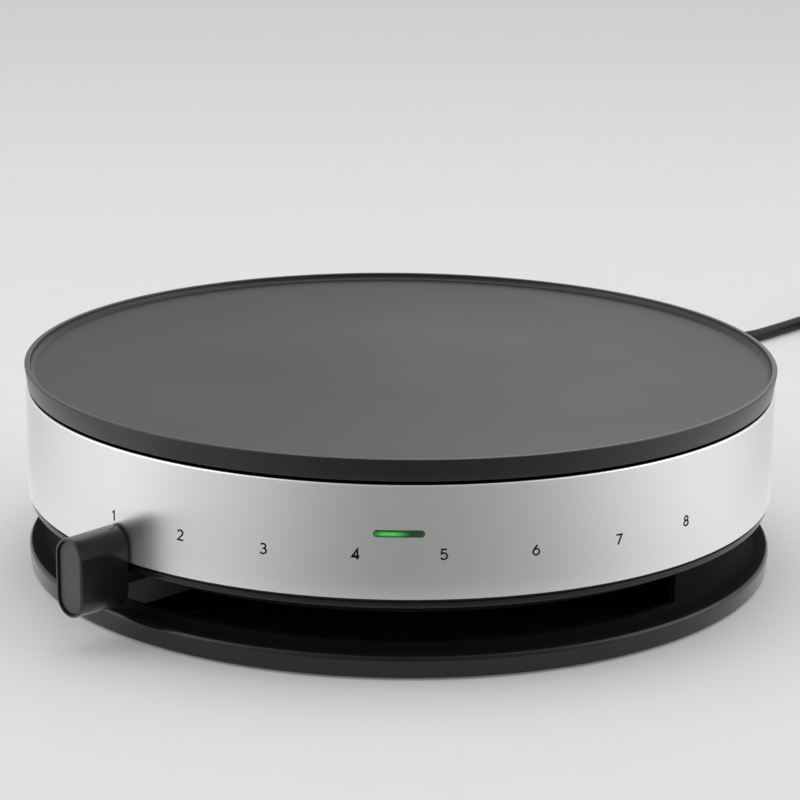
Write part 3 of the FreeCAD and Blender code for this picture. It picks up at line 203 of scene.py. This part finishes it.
bodyFinish = {
    "wall": (0.0085, 0.0085, 0.0092),
    "groove": (0.0042, 0.0041, 0.0046),     # painted shade: the groove under the band is coloured darker than the wall
    "wallRough": (0.17, 0.24),
    "grooveRough": 0.88,
    "gloss": (0.40, 0.17),     # wall, groove with the painted shade
    "grooveOut": 0.1634,
    "grooveHigh": 0.0292,
    "grooveLow": 0.0094,
    "fadeOut": 0.0006,         # how soon one finish gives way to the other, outwards and in height
    "fadeUp": 0.0003,
    "grainScale": 900.0,
    "grainDetail": 3.0,
    "cloudScale": 60.0,
    "cloudDetail": 2.0,
    "depth": 0.000004,
}


def makeBodyFinish():
    material, shader, add, join = newFinish("bodySatin")
    look = bodyFinish
    coords = objectCoords(add)
    x, y, z = splitCoords(add, join, coords)
    grain = noiseFrom(add, join, coords, look["grainScale"], look["grainDetail"])
    cloud = noiseFrom(add, join, coords, look["cloudScale"], look["cloudDetail"])
    out, high, low = look["grooveOut"], look["grooveHigh"], look["grooveLow"]
    inward = remap(add, join, axisDistance(add, join, x, y), 1.0, 0.0, out, out + look["fadeOut"])
    below = remap(add, join, z, 1.0, 0.0, high, high + look["fadeUp"])
    above = remap(add, join, z, 0.0, 1.0, low, low + look["fadeUp"])
    # painted shade: inside the groove, below the band and above the base's deck, the colour turns darker and
    # the surface rougher and less glossy, standing in for the shade there
    groove = calc(add, join, "MULTIPLY", calc(add, join, "MULTIPLY", inward, below), above)
    join(blendColours(add, join, groove, look["wall"], look["groove"]), shader.inputs["Base Color"])
    wallRough = remap(add, join, cloud, *look["wallRough"], *noiseSpan)
    rougher = calc(add, join, "SUBTRACT", look["grooveRough"], wallRough)
    more = calc(add, join, "MULTIPLY", rougher, groove)
    join(calc(add, join, "ADD", wallRough, more), shader.inputs["Roughness"])
    join(remap(add, join, groove, *look["gloss"]), shader.inputs["Specular IOR Level"])
    bumpFrom(add, join, shader, grain, look["depth"])
    return material


bandFinish = {
    "dark": (0.86, 0.852, 0.845),
    "light": (0.92, 0.912, 0.905),
    "rough": (0.21, 0.26),
    "stretch": 1.0,            # reflections draw out up and down
    "brushAround": 4.5,        # a brush mark is about 35 mm long
    "brushUp": 2600.0,         # and under half a millimetre high
    "brushDetail": 3.0,
    "brushRoughness": 0.6,
    "depth": 0.0000012,
}


def makeBandFinish():
    material, shader, add, join = newFinish("bandBrushed", metal=1.0)
    look = bandFinish
    coords = roundCoords(add, join, look["brushAround"], look["brushUp"])
    brush = noiseFrom(add, join, coords, 1.0, look["brushDetail"], look["brushRoughness"])
    join(blendColours(add, join, brush, look["dark"], look["light"]), shader.inputs["Base Color"])
    join(remap(add, join, brush, *look["rough"], *noiseSpan), shader.inputs["Roughness"])
    shader.inputs["Anisotropic"].default_value = look["stretch"]
    tangent = add("ShaderNodeTangent")
    tangent.direction_type = "RADIAL"
    tangent.axis = "Z"
    join(tangent.outputs[0], shader.inputs["Tangent"])
    bumpFrom(add, join, shader, brush, look["depth"])
    return material


plateFinish = {
    "colour": (0.011, 0.011, 0.0115),
    "fleck": (0.024, 0.024, 0.025),
    "fleckScale": 2200.0,
    "fleckDetail": 2.0,
    "fleckSpan": (0.52, 0.75),     # between these noise levels a fleck comes in
    "fleckBump": 0.35,
    "topRough": (0.36, 0.40),
    "cloudScale": 14.0,
    "cloudDetail": 5.0,
    "cloudSpan": (0.2, 0.8),
    "wallRough": 0.24,
    "wallStart": 0.1627,       # outside this radius the wall's turning lines begin
    "linePitch": 0.00045,
    "lineDetail": 2.0,
    "depth": 0.000006,
}


def makePlateFinish():
    material, shader, add, join = newFinish("plateCoating")
    look = plateFinish
    coords = objectCoords(add)
    x, y, z = splitCoords(add, join, coords)
    fleck = noiseFrom(add, join, coords, look["fleckScale"], look["fleckDetail"])
    share = remap(add, join, fleck, 0.0, 1.0, *look["fleckSpan"])
    join(blendColours(add, join, share, look["colour"], look["fleck"]), shader.inputs["Base Color"])
    onWall = calc(add, join, "GREATER_THAN", axisDistance(add, join, x, y), look["wallStart"])
    cloud = noiseFrom(add, join, coords, look["cloudScale"], look["cloudDetail"])
    topRough = remap(add, join, cloud, *look["topRough"], *look["cloudSpan"])
    smoother = calc(add, join, "SUBTRACT", topRough, look["wallRough"])
    less = calc(add, join, "MULTIPLY", smoother, onWall)
    join(calc(add, join, "SUBTRACT", topRough, less), shader.inputs["Roughness"])
    line = add("ShaderNodeTexNoise", Scale=1.0, Detail=look["lineDetail"])
    line.noise_dimensions = "1D"
    join(calc(add, join, "DIVIDE", z, look["linePitch"]), line.inputs["W"])
    wallLines = calc(add, join, "MULTIPLY", line.outputs["Fac"], onWall)
    flecks = calc(add, join, "MULTIPLY", fleck, look["fleckBump"])
    bumpFrom(add, join, shader, calc(add, join, "ADD", wallLines, flecks), look["depth"])
    return material


lensFinish = {
    "clear": (0.010, 0.030, 0.012),
    "deep": (0.006, 0.010, 0.006),
    "lit": (0.045, 0.52, 0.065),
    "glow": 1.1,
    "rough": 0.16,
    "hotSpot": -0.0030,        # where the light is brightest, left of the middle
    # how the light falls off from there: share, share, and the distances they belong to
    "rightFall": (1.0, 0.02, 0.0012, 0.0072),
    "leftFall": (0.10, 1.0, -0.0068, -0.0030),
    "level": 0.06025,
    "litHalf": (0.0003, 0.00105),   # half heights where the glow starts to fade and has gone
    "ripplePitch": 0.00105,
    "ripple": 0.00022,
    "cloudScale": 900.0,
    "cloudDetail": 2.0,
}


def makeLensFinish():
    # a rippled edge above and below, as the moulded ribs show the light
    material, shader, add, join = newFinish("lensLit", rough=lensFinish["rough"])
    look = lensFinish
    coords = objectCoords(add)
    x, y, z = splitCoords(add, join, coords)
    aside = calc(add, join, "SUBTRACT", x, look["hotSpot"])
    right = remap(add, join, aside, *look["rightFall"])
    left = remap(add, join, aside, *look["leftFall"])
    turns = calc(add, join, "MULTIPLY", x, 2 * math.pi / look["ripplePitch"])
    wave = calc(add, join, "MULTIPLY", calc(add, join, "COSINE", turns), look["ripple"])
    lift = calc(add, join, "ABSOLUTE", calc(add, join, "SUBTRACT", z, look["level"]))
    rippled = calc(add, join, "ADD", lift, wave)
    upright = remap(add, join, rippled, 1.0, 0.0, *look["litHalf"])
    share = calc(add, join, "MULTIPLY", calc(add, join, "MULTIPLY", left, right), upright)
    join(blendColours(add, join, share, look["clear"], look["lit"]), shader.inputs["Emission Color"])
    cloud = noiseFrom(add, join, coords, look["cloudScale"], look["cloudDetail"])
    join(blendColours(add, join, cloud, look["deep"], look["clear"]), shader.inputs["Base Color"])
    shader.inputs["Emission Strength"].default_value = look["glow"]
    return material


# Camera and light

cameraView = {
    "place": (-0.0002, -1.1075, 0.3717),
    "pitchDeg": 15.309,        # down from level
    "rollDeg": 0.6245,         # the picture's right side sits lower
    "lens": 116.3,
    "sensor": 36.0,
    "clipEnd": 30.0,
}

studio = {
    "floorColour": (0.81, 0.812, 0.825),
    "floorMottle": 0.985,      # the paper's darker places against its colour
    "floorRough": 0.75,
    "floorGloss": 0.2,
    "grainScale": 35.0,
    "grainDetail": 4.0,
    "tableReach": 14.0,        # half the table's side
    "tableSteps": 4,
    "worldLevel": 0.80,
    "whiteLift": 0.20,         # the room's extra white as metal and the camera see it
    "paperLift": 0.13,
    "mirrorLift": 3.0,         # times the paper's, where metal mirrors it
    # how bright the room is by the angle round from the front, darker behind the camera
    "roomShade": [
        (-180, 0.62), (-148, 0.68), (-118, 0.90), (-80, 1.0), (-74, 0.76), (-50, 0.66), (-20, 0.36), (0, 0.27),
        (30, 0.37), (45, 0.45), (64, 0.68), (83, 0.88), (104, 1.0), (128, 0.88), (152, 0.68), (180, 0.60),
    ],
    "floorShare": 0.77,        # the same shade where metal mirrors the table, at a smaller angle
    "darkFrom": (0.18, 0.27),  # how far out the table's shade begins and is full
    "panels": [
        # name, place, size, power, aim
        ("panelLeft", (-1.45, -0.25, 0.95), (1.3, 1.1), 4.8, (0, 0, 0.05)),
        ("panelRight", (1.45, 0.05, 0.95), (1.3, 1.1), 4.2, (0, 0, 0.05)),
        ("panelTop", (0.0, 0.35, 1.9), (1.6, 1.4), 6.2, (0, 0, 0.05)),
    ],
}


def makeCamera():
    data = bpy.data.cameras.new("camera")
    data.lens = cameraView["lens"]
    data.sensor_width = cameraView["sensor"]
    data.clip_end = cameraView["clipEnd"]
    camera = linkObject("camera", data)
    tilt = Matrix.Rotation(math.radians(90 - cameraView["pitchDeg"]), 4, "X")
    roll = Matrix.Rotation(math.radians(cameraView["rollDeg"]), 4, "Z")
    camera.matrix_world = Matrix.Translation(cameraView["place"]) @ tilt @ roll
    scene.camera = camera


def roomShade(add, join, coords, share=1.0):
    # reads the shade table by the angle round from the front; at a full share the ramp's own
    # white end stands in for the table's last entry, straight behind
    x, y = splitCoords(add, join, coords)[:2]
    angle = calc(add, join, "ARCTAN2", x, calc(add, join, "MULTIPLY", y, -1.0))
    ramp = add("ShaderNodeValToRGB")
    join(remap(add, join, angle, 0.0, 1.0, -math.pi, math.pi), ramp.inputs[0])
    stops = ramp.color_ramp.elements
    for index, (degrees, level) in enumerate(studio["roomShade"]):
        place = 0.5 + degrees * share / 360
        stop = stops.new(place) if index else stops[0]
        stop.position = place
        stop.color = (level, level, level, 1)
    stops.remove(stops[-1])
    return ramp.outputs["Color"]


def makeStage():
    mesh = bpy.data.meshes.new("tableTop")
    build = bmesh.new()
    steps = studio["tableSteps"]
    bmesh.ops.create_grid(build, x_segments=steps, y_segments=steps, size=studio["tableReach"])
    build.to_mesh(mesh)
    build.free()
    floor = linkObject("tableTop", mesh)
    material, shader, add, join = newFinish("tablePaper", rough=studio["floorRough"])
    shader.inputs["Specular IOR Level"].default_value = studio["floorGloss"]
    coords = objectCoords(add)
    grain = noiseFrom(add, join, coords, studio["grainScale"], studio["grainDetail"])
    tone = studio["floorColour"]
    darker = [channel * studio["floorMottle"] for channel in tone]
    tint = blendColours(add, join, grain, darker, tone)
    # the table in front, below the picture, is darker where metal mirrors it
    shade = roomShade(add, join, coords, studio["floorShare"])
    outward = remap(add, join, distanceOf(add, join, coords), 0.0, 1.0, *studio["darkFrom"])
    rays = add("ShaderNodeLightPath")
    mirrored = calc(add, join, "MULTIPLY", outward, rays.outputs["Is Glossy Ray"])
    shaded = blendColours(add, join, mirrored, tint, shade, "MULTIPLY")
    join(shaded, shader.inputs["Base Color"])
    join(shaded, shader.inputs["Emission Color"])
    lifted = calc(add, join, "MULTIPLY", rays.outputs["Is Glossy Ray"], studio["mirrorLift"])
    seen = calc(add, join, "ADD", rays.outputs["Is Camera Ray"], lifted)
    join(calc(add, join, "MULTIPLY", seen, studio["paperLift"]), shader.inputs["Emission Strength"])
    mesh.materials.append(material)


def makeWorld():
    world = bpy.data.worlds.new("studioWorld")
    world.use_nodes = True
    tree = world.node_tree
    tree.nodes.clear()
    add, join = treeTools(tree)
    back = add("ShaderNodeBackground")
    rays = add("ShaderNodeLightPath")
    seen = calc(add, join, "MAXIMUM", rays.outputs["Is Camera Ray"], rays.outputs["Is Glossy Ray"])
    lift = calc(add, join, "MULTIPLY", seen, studio["whiteLift"])
    join(calc(add, join, "ADD", lift, studio["worldLevel"]), back.inputs["Strength"])
    coords = add("ShaderNodeTexCoord").outputs["Generated"]
    join(roomShade(add, join, coords), back.inputs["Color"])
    join(back.outputs[0], add("ShaderNodeOutputWorld").inputs[0])
    scene.world = world


def makePanels():
    for name, place, size, power, aim in studio["panels"]:
        data = bpy.data.lights.new(name, "AREA")
        data.shape = "RECTANGLE"
        data.size, data.size_y = size
        data.energy = power
        lamp = linkObject(name, data)
        heading = Vector(aim) - Vector(place)
        turn = heading.to_track_quat("-Z", "Y").to_matrix().to_4x4()
        lamp.matrix_world = Matrix.Translation(place) @ turn


nodeFinishes = {
    "griddle_plate": "plateCoating", "steel_band": "bandBrushed", "indicator_lens": "lensLit",
    "body_shell": "bodySatin", "base_tray": "bodySatin", "bottom_cover": "coverGrain",
    "slider_knob": "knobGloss", "knob_panel": "insetGrey", "slider_arm": "armGrey", "cord_clamp": "armGrey",
    "rubber_feet": "footRubber", "strain_relief": "cordSheath", "inner_cord": "cordSheath",
    "power_plug": "cordSheath", "plug_pins": "pinNickel", "plug_contacts": "pinNickel",
    "heating_element": "heatedSheath", "heat_shield": "shieldSheet",
    "thermostat_body": "steatite", "lamp_holder": "steatite", "terminal_block": "steatite",
    "indicator_lamp": "lampCapsule", "cord_cores": "leadBlue", "neutral_lead": "leadBlue",
    "lamp_leads": "leadBlue", "live_lead": "leadBrown", "load_lead": "leadBrown", "earth_lead": "leadGreen",
}


def dressNodes():
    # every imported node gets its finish; fasteners and the other small steel pieces share two
    made = {"plateCoating": makePlateFinish(), "bandBrushed": makeBandFinish(), "lensLit": makeLensFinish(),
            "bodySatin": makeBodyFinish()}
    for name in mottledFinishes:
        made[name] = makeMottled(name)
    for name, node in nodes.items():
        finish = made[nodeFinishes.get(name, "screwZinc" if "screw" in name else "plainZinc")]
        if not node.material_slots:
            node.data.materials.append(finish)
        for slot in node.material_slots:
            slot.material = finish
    return made


# The cast plate, turned fine enough for its rim's long highlights

turning = {
    "segments": 360,
    "weld": 1e-6,
    "sharpDeg": 35,            # an edge that bends more than this stays crisp
}

plateShape = {
    "radius": 0.165,
    "taper": 0.0013,
    "top": 0.090,
    "skirtBottom": 0.0809,
    "skirtWidth": 0.005,
    "underside": 0.0822,
    "surfaceRing": 0.06,       # a ring of points on the flat cooking surface
    "rimLand": 0.0024,
    "rimDrop": 0.0029,
    "edge": 0.0005,
    "hollowShort": 0.0001,     # the straight left between the rim's hollow and its edge
    "cornerSteps": 5,
}


def roundedCorner(before, corner, after, radius, steps):
    # points of the arc that rounds a profile's corner
    before, corner, after = Vector(before), Vector(corner), Vector(after)
    into, out = (before - corner).normalized(), (after - corner).normalized()
    half = into.angle(out) / 2
    reach = radius / math.tan(half)
    centre = corner + (into + out).normalized() * (radius / math.sin(half))
    start, end = corner + into * reach - centre, corner + out * reach - centre
    sweep = start.angle(end)
    points = []
    for step in range(steps + 1):
        share = step / steps
        mixed = (start * math.sin((1 - share) * sweep) + end * math.sin(share * sweep)) / math.sin(sweep)
        points.append(centre + mixed)
    return points


def plateProfile():
    shape = plateShape
    radius, top, edge = shape["radius"], shape["top"], shape["edge"]
    foot = radius - shape["taper"]
    skirt = foot - shape["skirtWidth"]
    land = radius - shape["rimLand"]
    surface = top - shape["rimDrop"]
    hollow = shape["rimDrop"] - edge - shape["hollowShort"]
    # each corner's place and the radius that rounds it
    corners = [
        ((0, shape["underside"]), 0), ((skirt, shape["underside"]), 0), ((skirt, shape["skirtBottom"]), 0),
        ((foot, shape["skirtBottom"]), edge), ((radius, top), edge), ((land, top), edge),
        ((land, surface), hollow), ((shape["surfaceRing"], surface), 0), ((0, surface), 0),
    ]
    profile = []
    for index, (corner, radius) in enumerate(corners):
        if radius:
            before, after = corners[index - 1][0], corners[index + 1][0]
            profile += roundedCorner(before, corner, after, radius, shape["cornerSteps"])
        else:
            profile.append(Vector(corner))
    return profile


def softenShading(build):
    for face in build.faces:
        face.smooth = True
    for edge in build.edges:
        if len(edge.link_faces) == 2 and edge.calc_face_angle() > math.radians(turning["sharpDeg"]):
            edge.smooth = False


def pieceFrom(build, name, finish, soften=True):
    # links a build as one piece with one finish
    if soften:
        bmesh.ops.remove_doubles(build, verts=build.verts, dist=turning["weld"])
    bmesh.ops.recalc_face_normals(build, faces=build.faces)
    if soften:
        softenShading(build)
    mesh = bpy.data.meshes.new(name)
    build.to_mesh(mesh)
    build.free()
    if "custom_normal" in mesh.attributes:
        mesh.attributes.remove(mesh.attributes["custom_normal"])
    mesh.materials.clear()
    mesh.materials.append(finish)
    return linkObject(name, mesh)


def turnedPiece(name, profile, finish, closed=False):
    # spins a profile of (radius, height) points round the upright axis
    build = bmesh.new()
    places = [build.verts.new((point.x, 0, point.y)) for point in profile]
    pairs = list(zip(places, places[1:])) + ([(places[-1], places[0])] if closed else [])
    edges = [build.edges.new(pair) for pair in pairs]
    bmesh.ops.spin(build, geom=places + edges, axis=(0, 0, 1), cent=(0, 0, 0),
                   steps=turning["segments"], angle=2 * math.pi, use_merge=True)
    piece = pieceFrom(build, name, finish)
    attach(piece, "body")
    return piece


def makePlate(finish):
    plate = turnedPiece("crepePlate", plateProfile(), finish)
    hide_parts("griddle_plate")


# The body's thin lip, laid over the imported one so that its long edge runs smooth

lipRing = {
    "outer": 0.16345,
    "inner": 0.1622,
    "low": 0.02945,
    "high": 0.03193,
    "edge": 0.0004,
    "cornerSteps": 4,
}


def makeLip(finish):
    inner, outer, low, high = (lipRing[key] for key in ("inner", "outer", "low", "high"))
    rounding = lipRing["edge"], lipRing["cornerSteps"]
    lower = roundedCorner((inner, low), (outer, low), (outer, high), *rounding)
    upper = roundedCorner((outer, low), (outer, high), (inner, high), *rounding)
    profile = [Vector((inner, low)), *lower, *upper, Vector((inner, high))]
    lip = turnedPiece("bodyLip", profile, finish, closed=True)


# The knob's grey inset, brought up near the knob's own face

knobInset = {
    "sunk": 0.0011,            # how far the inset's face stays behind the knob's
    "faceDepth": 0.0001,       # how far behind its outermost point the inset's face is looked for
}


def makeKnobInset(finish):
    source, knob = nodes["knob_panel"], nodes["slider_knob"]
    spots = [source.matrix_world @ vertex.co for vertex in source.data.vertices]
    middle = sum(spots, Vector()) / len(spots)
    outward = Vector((middle.x, middle.y, 0)).normalized()
    knobFace = max((knob.matrix_world @ vertex.co).dot(outward) for vertex in knob.data.vertices)
    face = max(spot.dot(outward) for spot in spots)
    shift = knobFace - knobInset["sunk"] - face
    build = bmesh.new()
    build.from_mesh(source.data)
    for vertex, spot in zip(build.verts, spots):
        onFace = spot.dot(outward) > face - knobInset["faceDepth"]
        vertex.co = spot + outward * (shift if onFace else 0)
    inset = pieceFrom(build, "knobInset", finish)
    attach(inset, "slider")
    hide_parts("knob_panel")
    print("inset brought forward by", round(shift * 1000, 3), "mm")


# Mains cord: one smooth line from the relief, along the table, round the coil and on to the plug

cordLine = {
    "diameter": 0.0074,
    "exit": (0, 0.182, 0.0205),
    "length": 1.265,
    "route": [
        (0, 0.182, 0.0205), (0, 0.203, 0.0205), (0.002, 0.230, 0.0124), (0.0075, 0.259, 0.0050),
        (0.019, 0.290, 0.00375), (0.037, 0.320, 0.00375), (0.065, 0.347, 0.00375), (0.101, 0.367, 0.00375),
        (0.142, 0.377, 0.00375), (0.170, 0.3785, 0.00375), (0.192, 0.380, 0.00375), (0.208, 0.3865, 0.00375),
        (0.220, 0.399, 0.00375), (0.236, 0.4175, 0.00375), (0.248, 0.431, 0.00375),
    ],
    "coilCentre": (0.308, 0.431),
    "coilInner": 0.0345,
    "coilPitch": 0.008,
    "coilTurns": 3,
    "coilStartDeg": 135,
    "climb": 0.5,              # the share of a turn over which the line climbs on to itself
    "leadIn": 0.0204,          # how far before the coil, and after it, the line is held straight
    "leadOut": 0.007,
    "pointsPerTurn": 16,
    "rest": 0.00375,
    "tail": [(0.024, 0.0195, 0.0036), (0.038, 0.0265, 0.0069), (0.0515, 0.031, 0.0069)],
    "ringSteps": 6,
    "lineSteps": 8,
    "order": 3,
}


def coilPlace(turn):
    # winds in to the middle turn, climbs on to itself and winds out again
    middle = cordLine["coilTurns"] / 2
    pitch, climb = cordLine["coilPitch"], cordLine["climb"]
    radius = cordLine["coilInner"] + pitch * abs(turn - middle)
    angle = math.radians(cordLine["coilStartDeg"]) - 2 * math.pi * turn
    share = min(max((turn - middle + climb / 2) / climb, 0.0), 1.0)
    height = cordLine["rest"] + pitch * share * share * (3 - 2 * share)
    x, y = cordLine["coilCentre"]
    return Vector((x + radius * math.cos(angle), y + radius * math.sin(angle), height))


def cordPoints():
    points = [Vector(point) for point in cordLine["route"]]
    steps = cordLine["coilTurns"] * cordLine["pointsPerTurn"]
    coil = [coilPlace(step / cordLine["pointsPerTurn"]) for step in range(steps + 1)]
    into = (coil[1] - coil[0]).normalized()
    out = (coil[-1] - coil[-2]).normalized()
    points.append(coil[0] - into * cordLine["leadIn"])
    points += coil
    coilEnd = coil[-1] + out * cordLine["diameter"]
    points.append(coilEnd + out * cordLine["leadOut"])
    points += [coilEnd + Vector(step) for step in cordLine["tail"]]
    return points


def makeCord(finish):
    points = cordPoints()
    data = bpy.data.curves.new("mainsCord", "CURVE")
    data.dimensions = "3D"
    data.bevel_depth = cordLine["diameter"] / 2
    data.bevel_resolution = cordLine["ringSteps"]
    data.resolution_u = cordLine["lineSteps"]
    data.use_fill_caps = True
    spline = data.splines.new("NURBS")
    spline.points.add(len(points) - 1)
    for spot, place in zip(spline.points, points):
        spot.co = (*place, 1)
    spline.order_u = cordLine["order"]
    spline.use_endpoint_u = True
    data.materials.append(finish)
    cord = linkObject("mainsCord", data)
    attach(cord, "body")
    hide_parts("power_cord", "cord_coil", "cord_tail")


# Numerals on the band: each is drawn with strokes of one width and laid on the curve

numerals = {
    "height": 0.00408,         # between the middles of the strokes
    "width": 0.00278,
    "stroke": 0.00064,
    "boldStroke": 0.00092,     # the 4 is printed heavier
    "boldIndex": 3,
    "level": 0.0520,
    "levelNudge": (-0.0007, -0.0012, -0.00115, -0.0004, -0.0001, -0.00055, -0.0012, -0.00045),
    "stepDeg": 12.65,
    "nudgeDeg": (0, 0.05, 0.33, 0.56, -0.24, -0.05, 0.2, 0.3),
    "radius": 0.1645,
    "lift": 0.00003,
    "depth": 0.00006,
    "mitreLeast": 0.45,        # keeps the mitre short at a sharp turn
}


def bow(x, y, wide, high, start, end, steps=14):
    # part of an ellipse, angles in degrees
    points = []
    for step in range(steps + 1):
        angle = math.radians(start + (end - start) * step / steps)
        points.append((x + wide * math.cos(angle), y + high * math.sin(angle)))
    return points


def digitStrokes():
    # centre lines in a box one unit wide and one high
    return [
        [[(0.30, 0.80), (0.62, 1.0), (0.62, 0.0)]],
        [bow(0.48, 0.715, 0.43, 0.285, 165, -32) + [(0.04, 0.0), (0.98, 0.0)]],
        [bow(0.45, 0.765, 0.38, 0.235, 150, -80) + bow(0.44, 0.27, 0.48, 0.27, 80, -152)],
        [[(0.70, 0.0), (0.70, 1.0), (0.0, 0.27), (0.98, 0.27)]],
        [[(0.88, 1.0), (0.20, 1.0), (0.12, 0.54)] + bow(0.46, 0.315, 0.48, 0.315, 118, -148)],
        [[(0.66, 1.0), (0.36, 0.74)] + bow(0.50, 0.31, 0.46, 0.31, 150, 510, 26)],
        [[(0.04, 1.0), (0.94, 1.0), (0.36, 0.0)]],
        [bow(0.50, 0.765, 0.37, 0.235, -90, 270, 22), bow(0.50, 0.27, 0.46, 0.27, 90, 450, 24)],
    ]


def ribbonSides(line, width):
    # the two edges of a flat stroke, mitred where it turns
    sides = []
    for index, point in enumerate(line):
        before = (point - line[index - 1]).normalized() if index else None
        after = (line[index + 1] - point).normalized() if index + 1 < len(line) else None
        before, after = before or after, after or before
        along = (before + after).normalized()
        across = Vector((-along.y, along.x))
        reach = width / 2 / max(numerals["mitreLeast"], along.dot(after))
        sides.append((point + across * reach, point - across * reach))
    return sides


def wrapOnBand(across, up, out, centreAngle, level):
    angle = centreAngle + across / numerals["radius"]
    radius = numerals["radius"] + out
    return Vector((radius * math.sin(angle), -radius * math.cos(angle), level + up))


def makeNumerals(finish):
    build = bmesh.new()
    low, high = numerals["lift"], numerals["lift"] + numerals["depth"]
    wide, tall = numerals["width"], numerals["height"]
    drawn = digitStrokes()
    for index, strokes in enumerate(drawn):
        fromMiddle = index - (len(drawn) - 1) / 2
        turn = fromMiddle * numerals["stepDeg"] + numerals["nudgeDeg"][index]
        angle, level = math.radians(turn), numerals["level"] + numerals["levelNudge"][index]
        width = numerals["boldStroke"] if index == numerals["boldIndex"] else numerals["stroke"]
        for stroke in strokes:
            line = [Vector(((x - 0.5) * wide, (y - 0.5) * tall)) for x, y in stroke]
            rings = []
            for left, right in ribbonSides(line, width):
                corners = ((left, low), (right, low), (right, high), (left, high))
                rings.append([build.verts.new(wrapOnBand(spot.x, spot.y, out, angle, level))
                              for spot, out in corners])
            for first, second in zip(rings, rings[1:]):
                for side in range(4):
                    following = (side + 1) % 4
                    build.faces.new((first[side], first[following], second[following], second[side]))
            build.faces.new(rings[0])
            build.faces.new(rings[-1])
    digits = pieceFrom(build, "bandNumerals", finish, soften=False)
    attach(digits, "body")


# Upright ribs over the pilot light's window

lensRibs = {
    "Count": 21,
    "Pitch": 0.0009,
    "Rib Radius": 0.00042,
    "Rib Sides": 12,
    "Window Length": 0.0196,
    "Window Height": 0.0026,
    "Level": 0.06025,
    "Wall Radius": 0.16460,
    "Least Share": 0.02,
}


def setInputs(modifier, group, values):
    for item in group.interface.items_tree:
        if item.item_type == "SOCKET" and item.in_out == "INPUT" and item.name in values:
            modifier[item.identifier] = values[item.name]


def bakeTree(holder, group, values):
    # runs a tree on its holder once and keeps the plain mesh
    modifier = holder.modifiers.new("build", "NODES")
    modifier.node_group = group
    setInputs(modifier, group, values)
    evaluated = holder.evaluated_get(bpy.context.evaluated_depsgraph_get())
    mesh = bpy.data.meshes.new_from_object(evaluated)
    holder.modifiers.remove(modifier)
    holder.data = mesh
    mesh.name = holder.name


def newTree(name, values):
    group = bpy.data.node_groups.new(name, "GeometryNodeTree")
    group.interface.new_socket("Geometry", in_out="INPUT", socket_type="NodeSocketGeometry")
    group.interface.new_socket("Geometry", in_out="OUTPUT", socket_type="NodeSocketGeometry")
    for key, value in values.items():
        kind = "NodeSocketInt" if isinstance(value, int) else "NodeSocketFloat"
        group.interface.new_socket(key, in_out="INPUT", socket_type=kind).default_value = value
    source = group.nodes.new("NodeGroupInput")

    def add(kind, operation=None, **links):
        # i0, i1 and so on name an input by its place
        node = group.nodes.new(kind)
        if operation:
            node.operation = operation
        for key, value in links.items():
            byPlace = key[0] == "i" and key[1:].isdigit()
            socket = node.inputs[int(key[1:]) if byPlace else key.replace("_", " ")]
            if hasattr(value, "is_linked"):
                group.links.new(value, socket)
            else:
                socket.default_value = value
        return node

    def finishTree(geometry, material):
        real = add("GeometryNodeRealizeInstances", i0=geometry)
        dressed = add("GeometryNodeSetMaterial", i0=real.outputs[0])
        dressed.inputs["Material"].default_value = material
        result = group.nodes.new("NodeGroupOutput")
        group.links.new(dressed.outputs[0], result.inputs[0])

    return group, source, add, finishTree


def makeLensRibs(finish):
    group, source, add, finishTree = newTree("ribRow", lensRibs)

    def work(operation, first, second=None):
        links = {"i0": first} if second is None else {"i0": first, "i1": second}
        return add("ShaderNodeMath", operation, **links).outputs[0]

    count, wall = source.outputs["Count"], source.outputs["Wall Radius"]
    row = add("GeometryNodeMeshLine", Count=count)
    index = add("GeometryNodeInputIndex").outputs[0]
    step = work("SUBTRACT", index, work("MULTIPLY", work("SUBTRACT", count, 1.0), 0.5))
    x = work("MULTIPLY", step, source.outputs["Pitch"])
    depth = work("SQRT", work("SUBTRACT", work("MULTIPLY", wall, wall), work("MULTIPLY", x, x)))
    y = work("MULTIPLY", depth, -1.0)
    place = add("ShaderNodeCombineXYZ", X=x, Y=y, Z=source.outputs["Level"]).outputs[0]
    # a rib near the window's round ends is shorter
    height = source.outputs["Window Height"]
    radius = work("MULTIPLY", height, 0.5)
    straight = work("SUBTRACT", work("MULTIPLY", source.outputs["Window Length"], 0.5), radius)
    past = work("MAXIMUM", work("SUBTRACT", work("ABSOLUTE", x), straight), 0.0)
    share = work("DIVIDE", past, radius)
    left = work("SUBTRACT", 1.0, work("MULTIPLY", share, share))
    tall = work("SQRT", work("MAXIMUM", left, source.outputs["Least Share"]))
    moved = add("GeometryNodeSetPosition", Geometry=row.outputs[0], Position=place)
    rib = add("GeometryNodeMeshCylinder", Vertices=source.outputs["Rib Sides"],
              Radius=source.outputs["Rib Radius"], Depth=height)
    size = add("ShaderNodeCombineXYZ", X=1.0, Y=1.0, Z=tall).outputs[0]
    ribs = add("GeometryNodeInstanceOnPoints", Points=moved.outputs[0], Instance=rib.outputs[0], Scale=size)
    finishTree(ribs.outputs[0], finish)
    holder = linkObject("lensRibs", bpy.data.meshes.new("lensRibs"))
    bakeTree(holder, group, lensRibs)
    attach(holder, "body")


makeCamera()
makeWorld()
makePanels()
makeStage()
print("stage ready")
finishes = dressNodes()
print("finishes on", len(nodes), "nodes")
makeCord(finishes["cordSheath"])
print("cord laid")
makePlate(finishes["plateCoating"])
makeLip(finishes["bodySatin"])
makeKnobInset(finishes["insetGrey"])
makeNumerals(finishes["numeralInk"])
makeLensRibs(finishes["lensLit"])
print("band dressed")

bpy.context.view_layer.update()
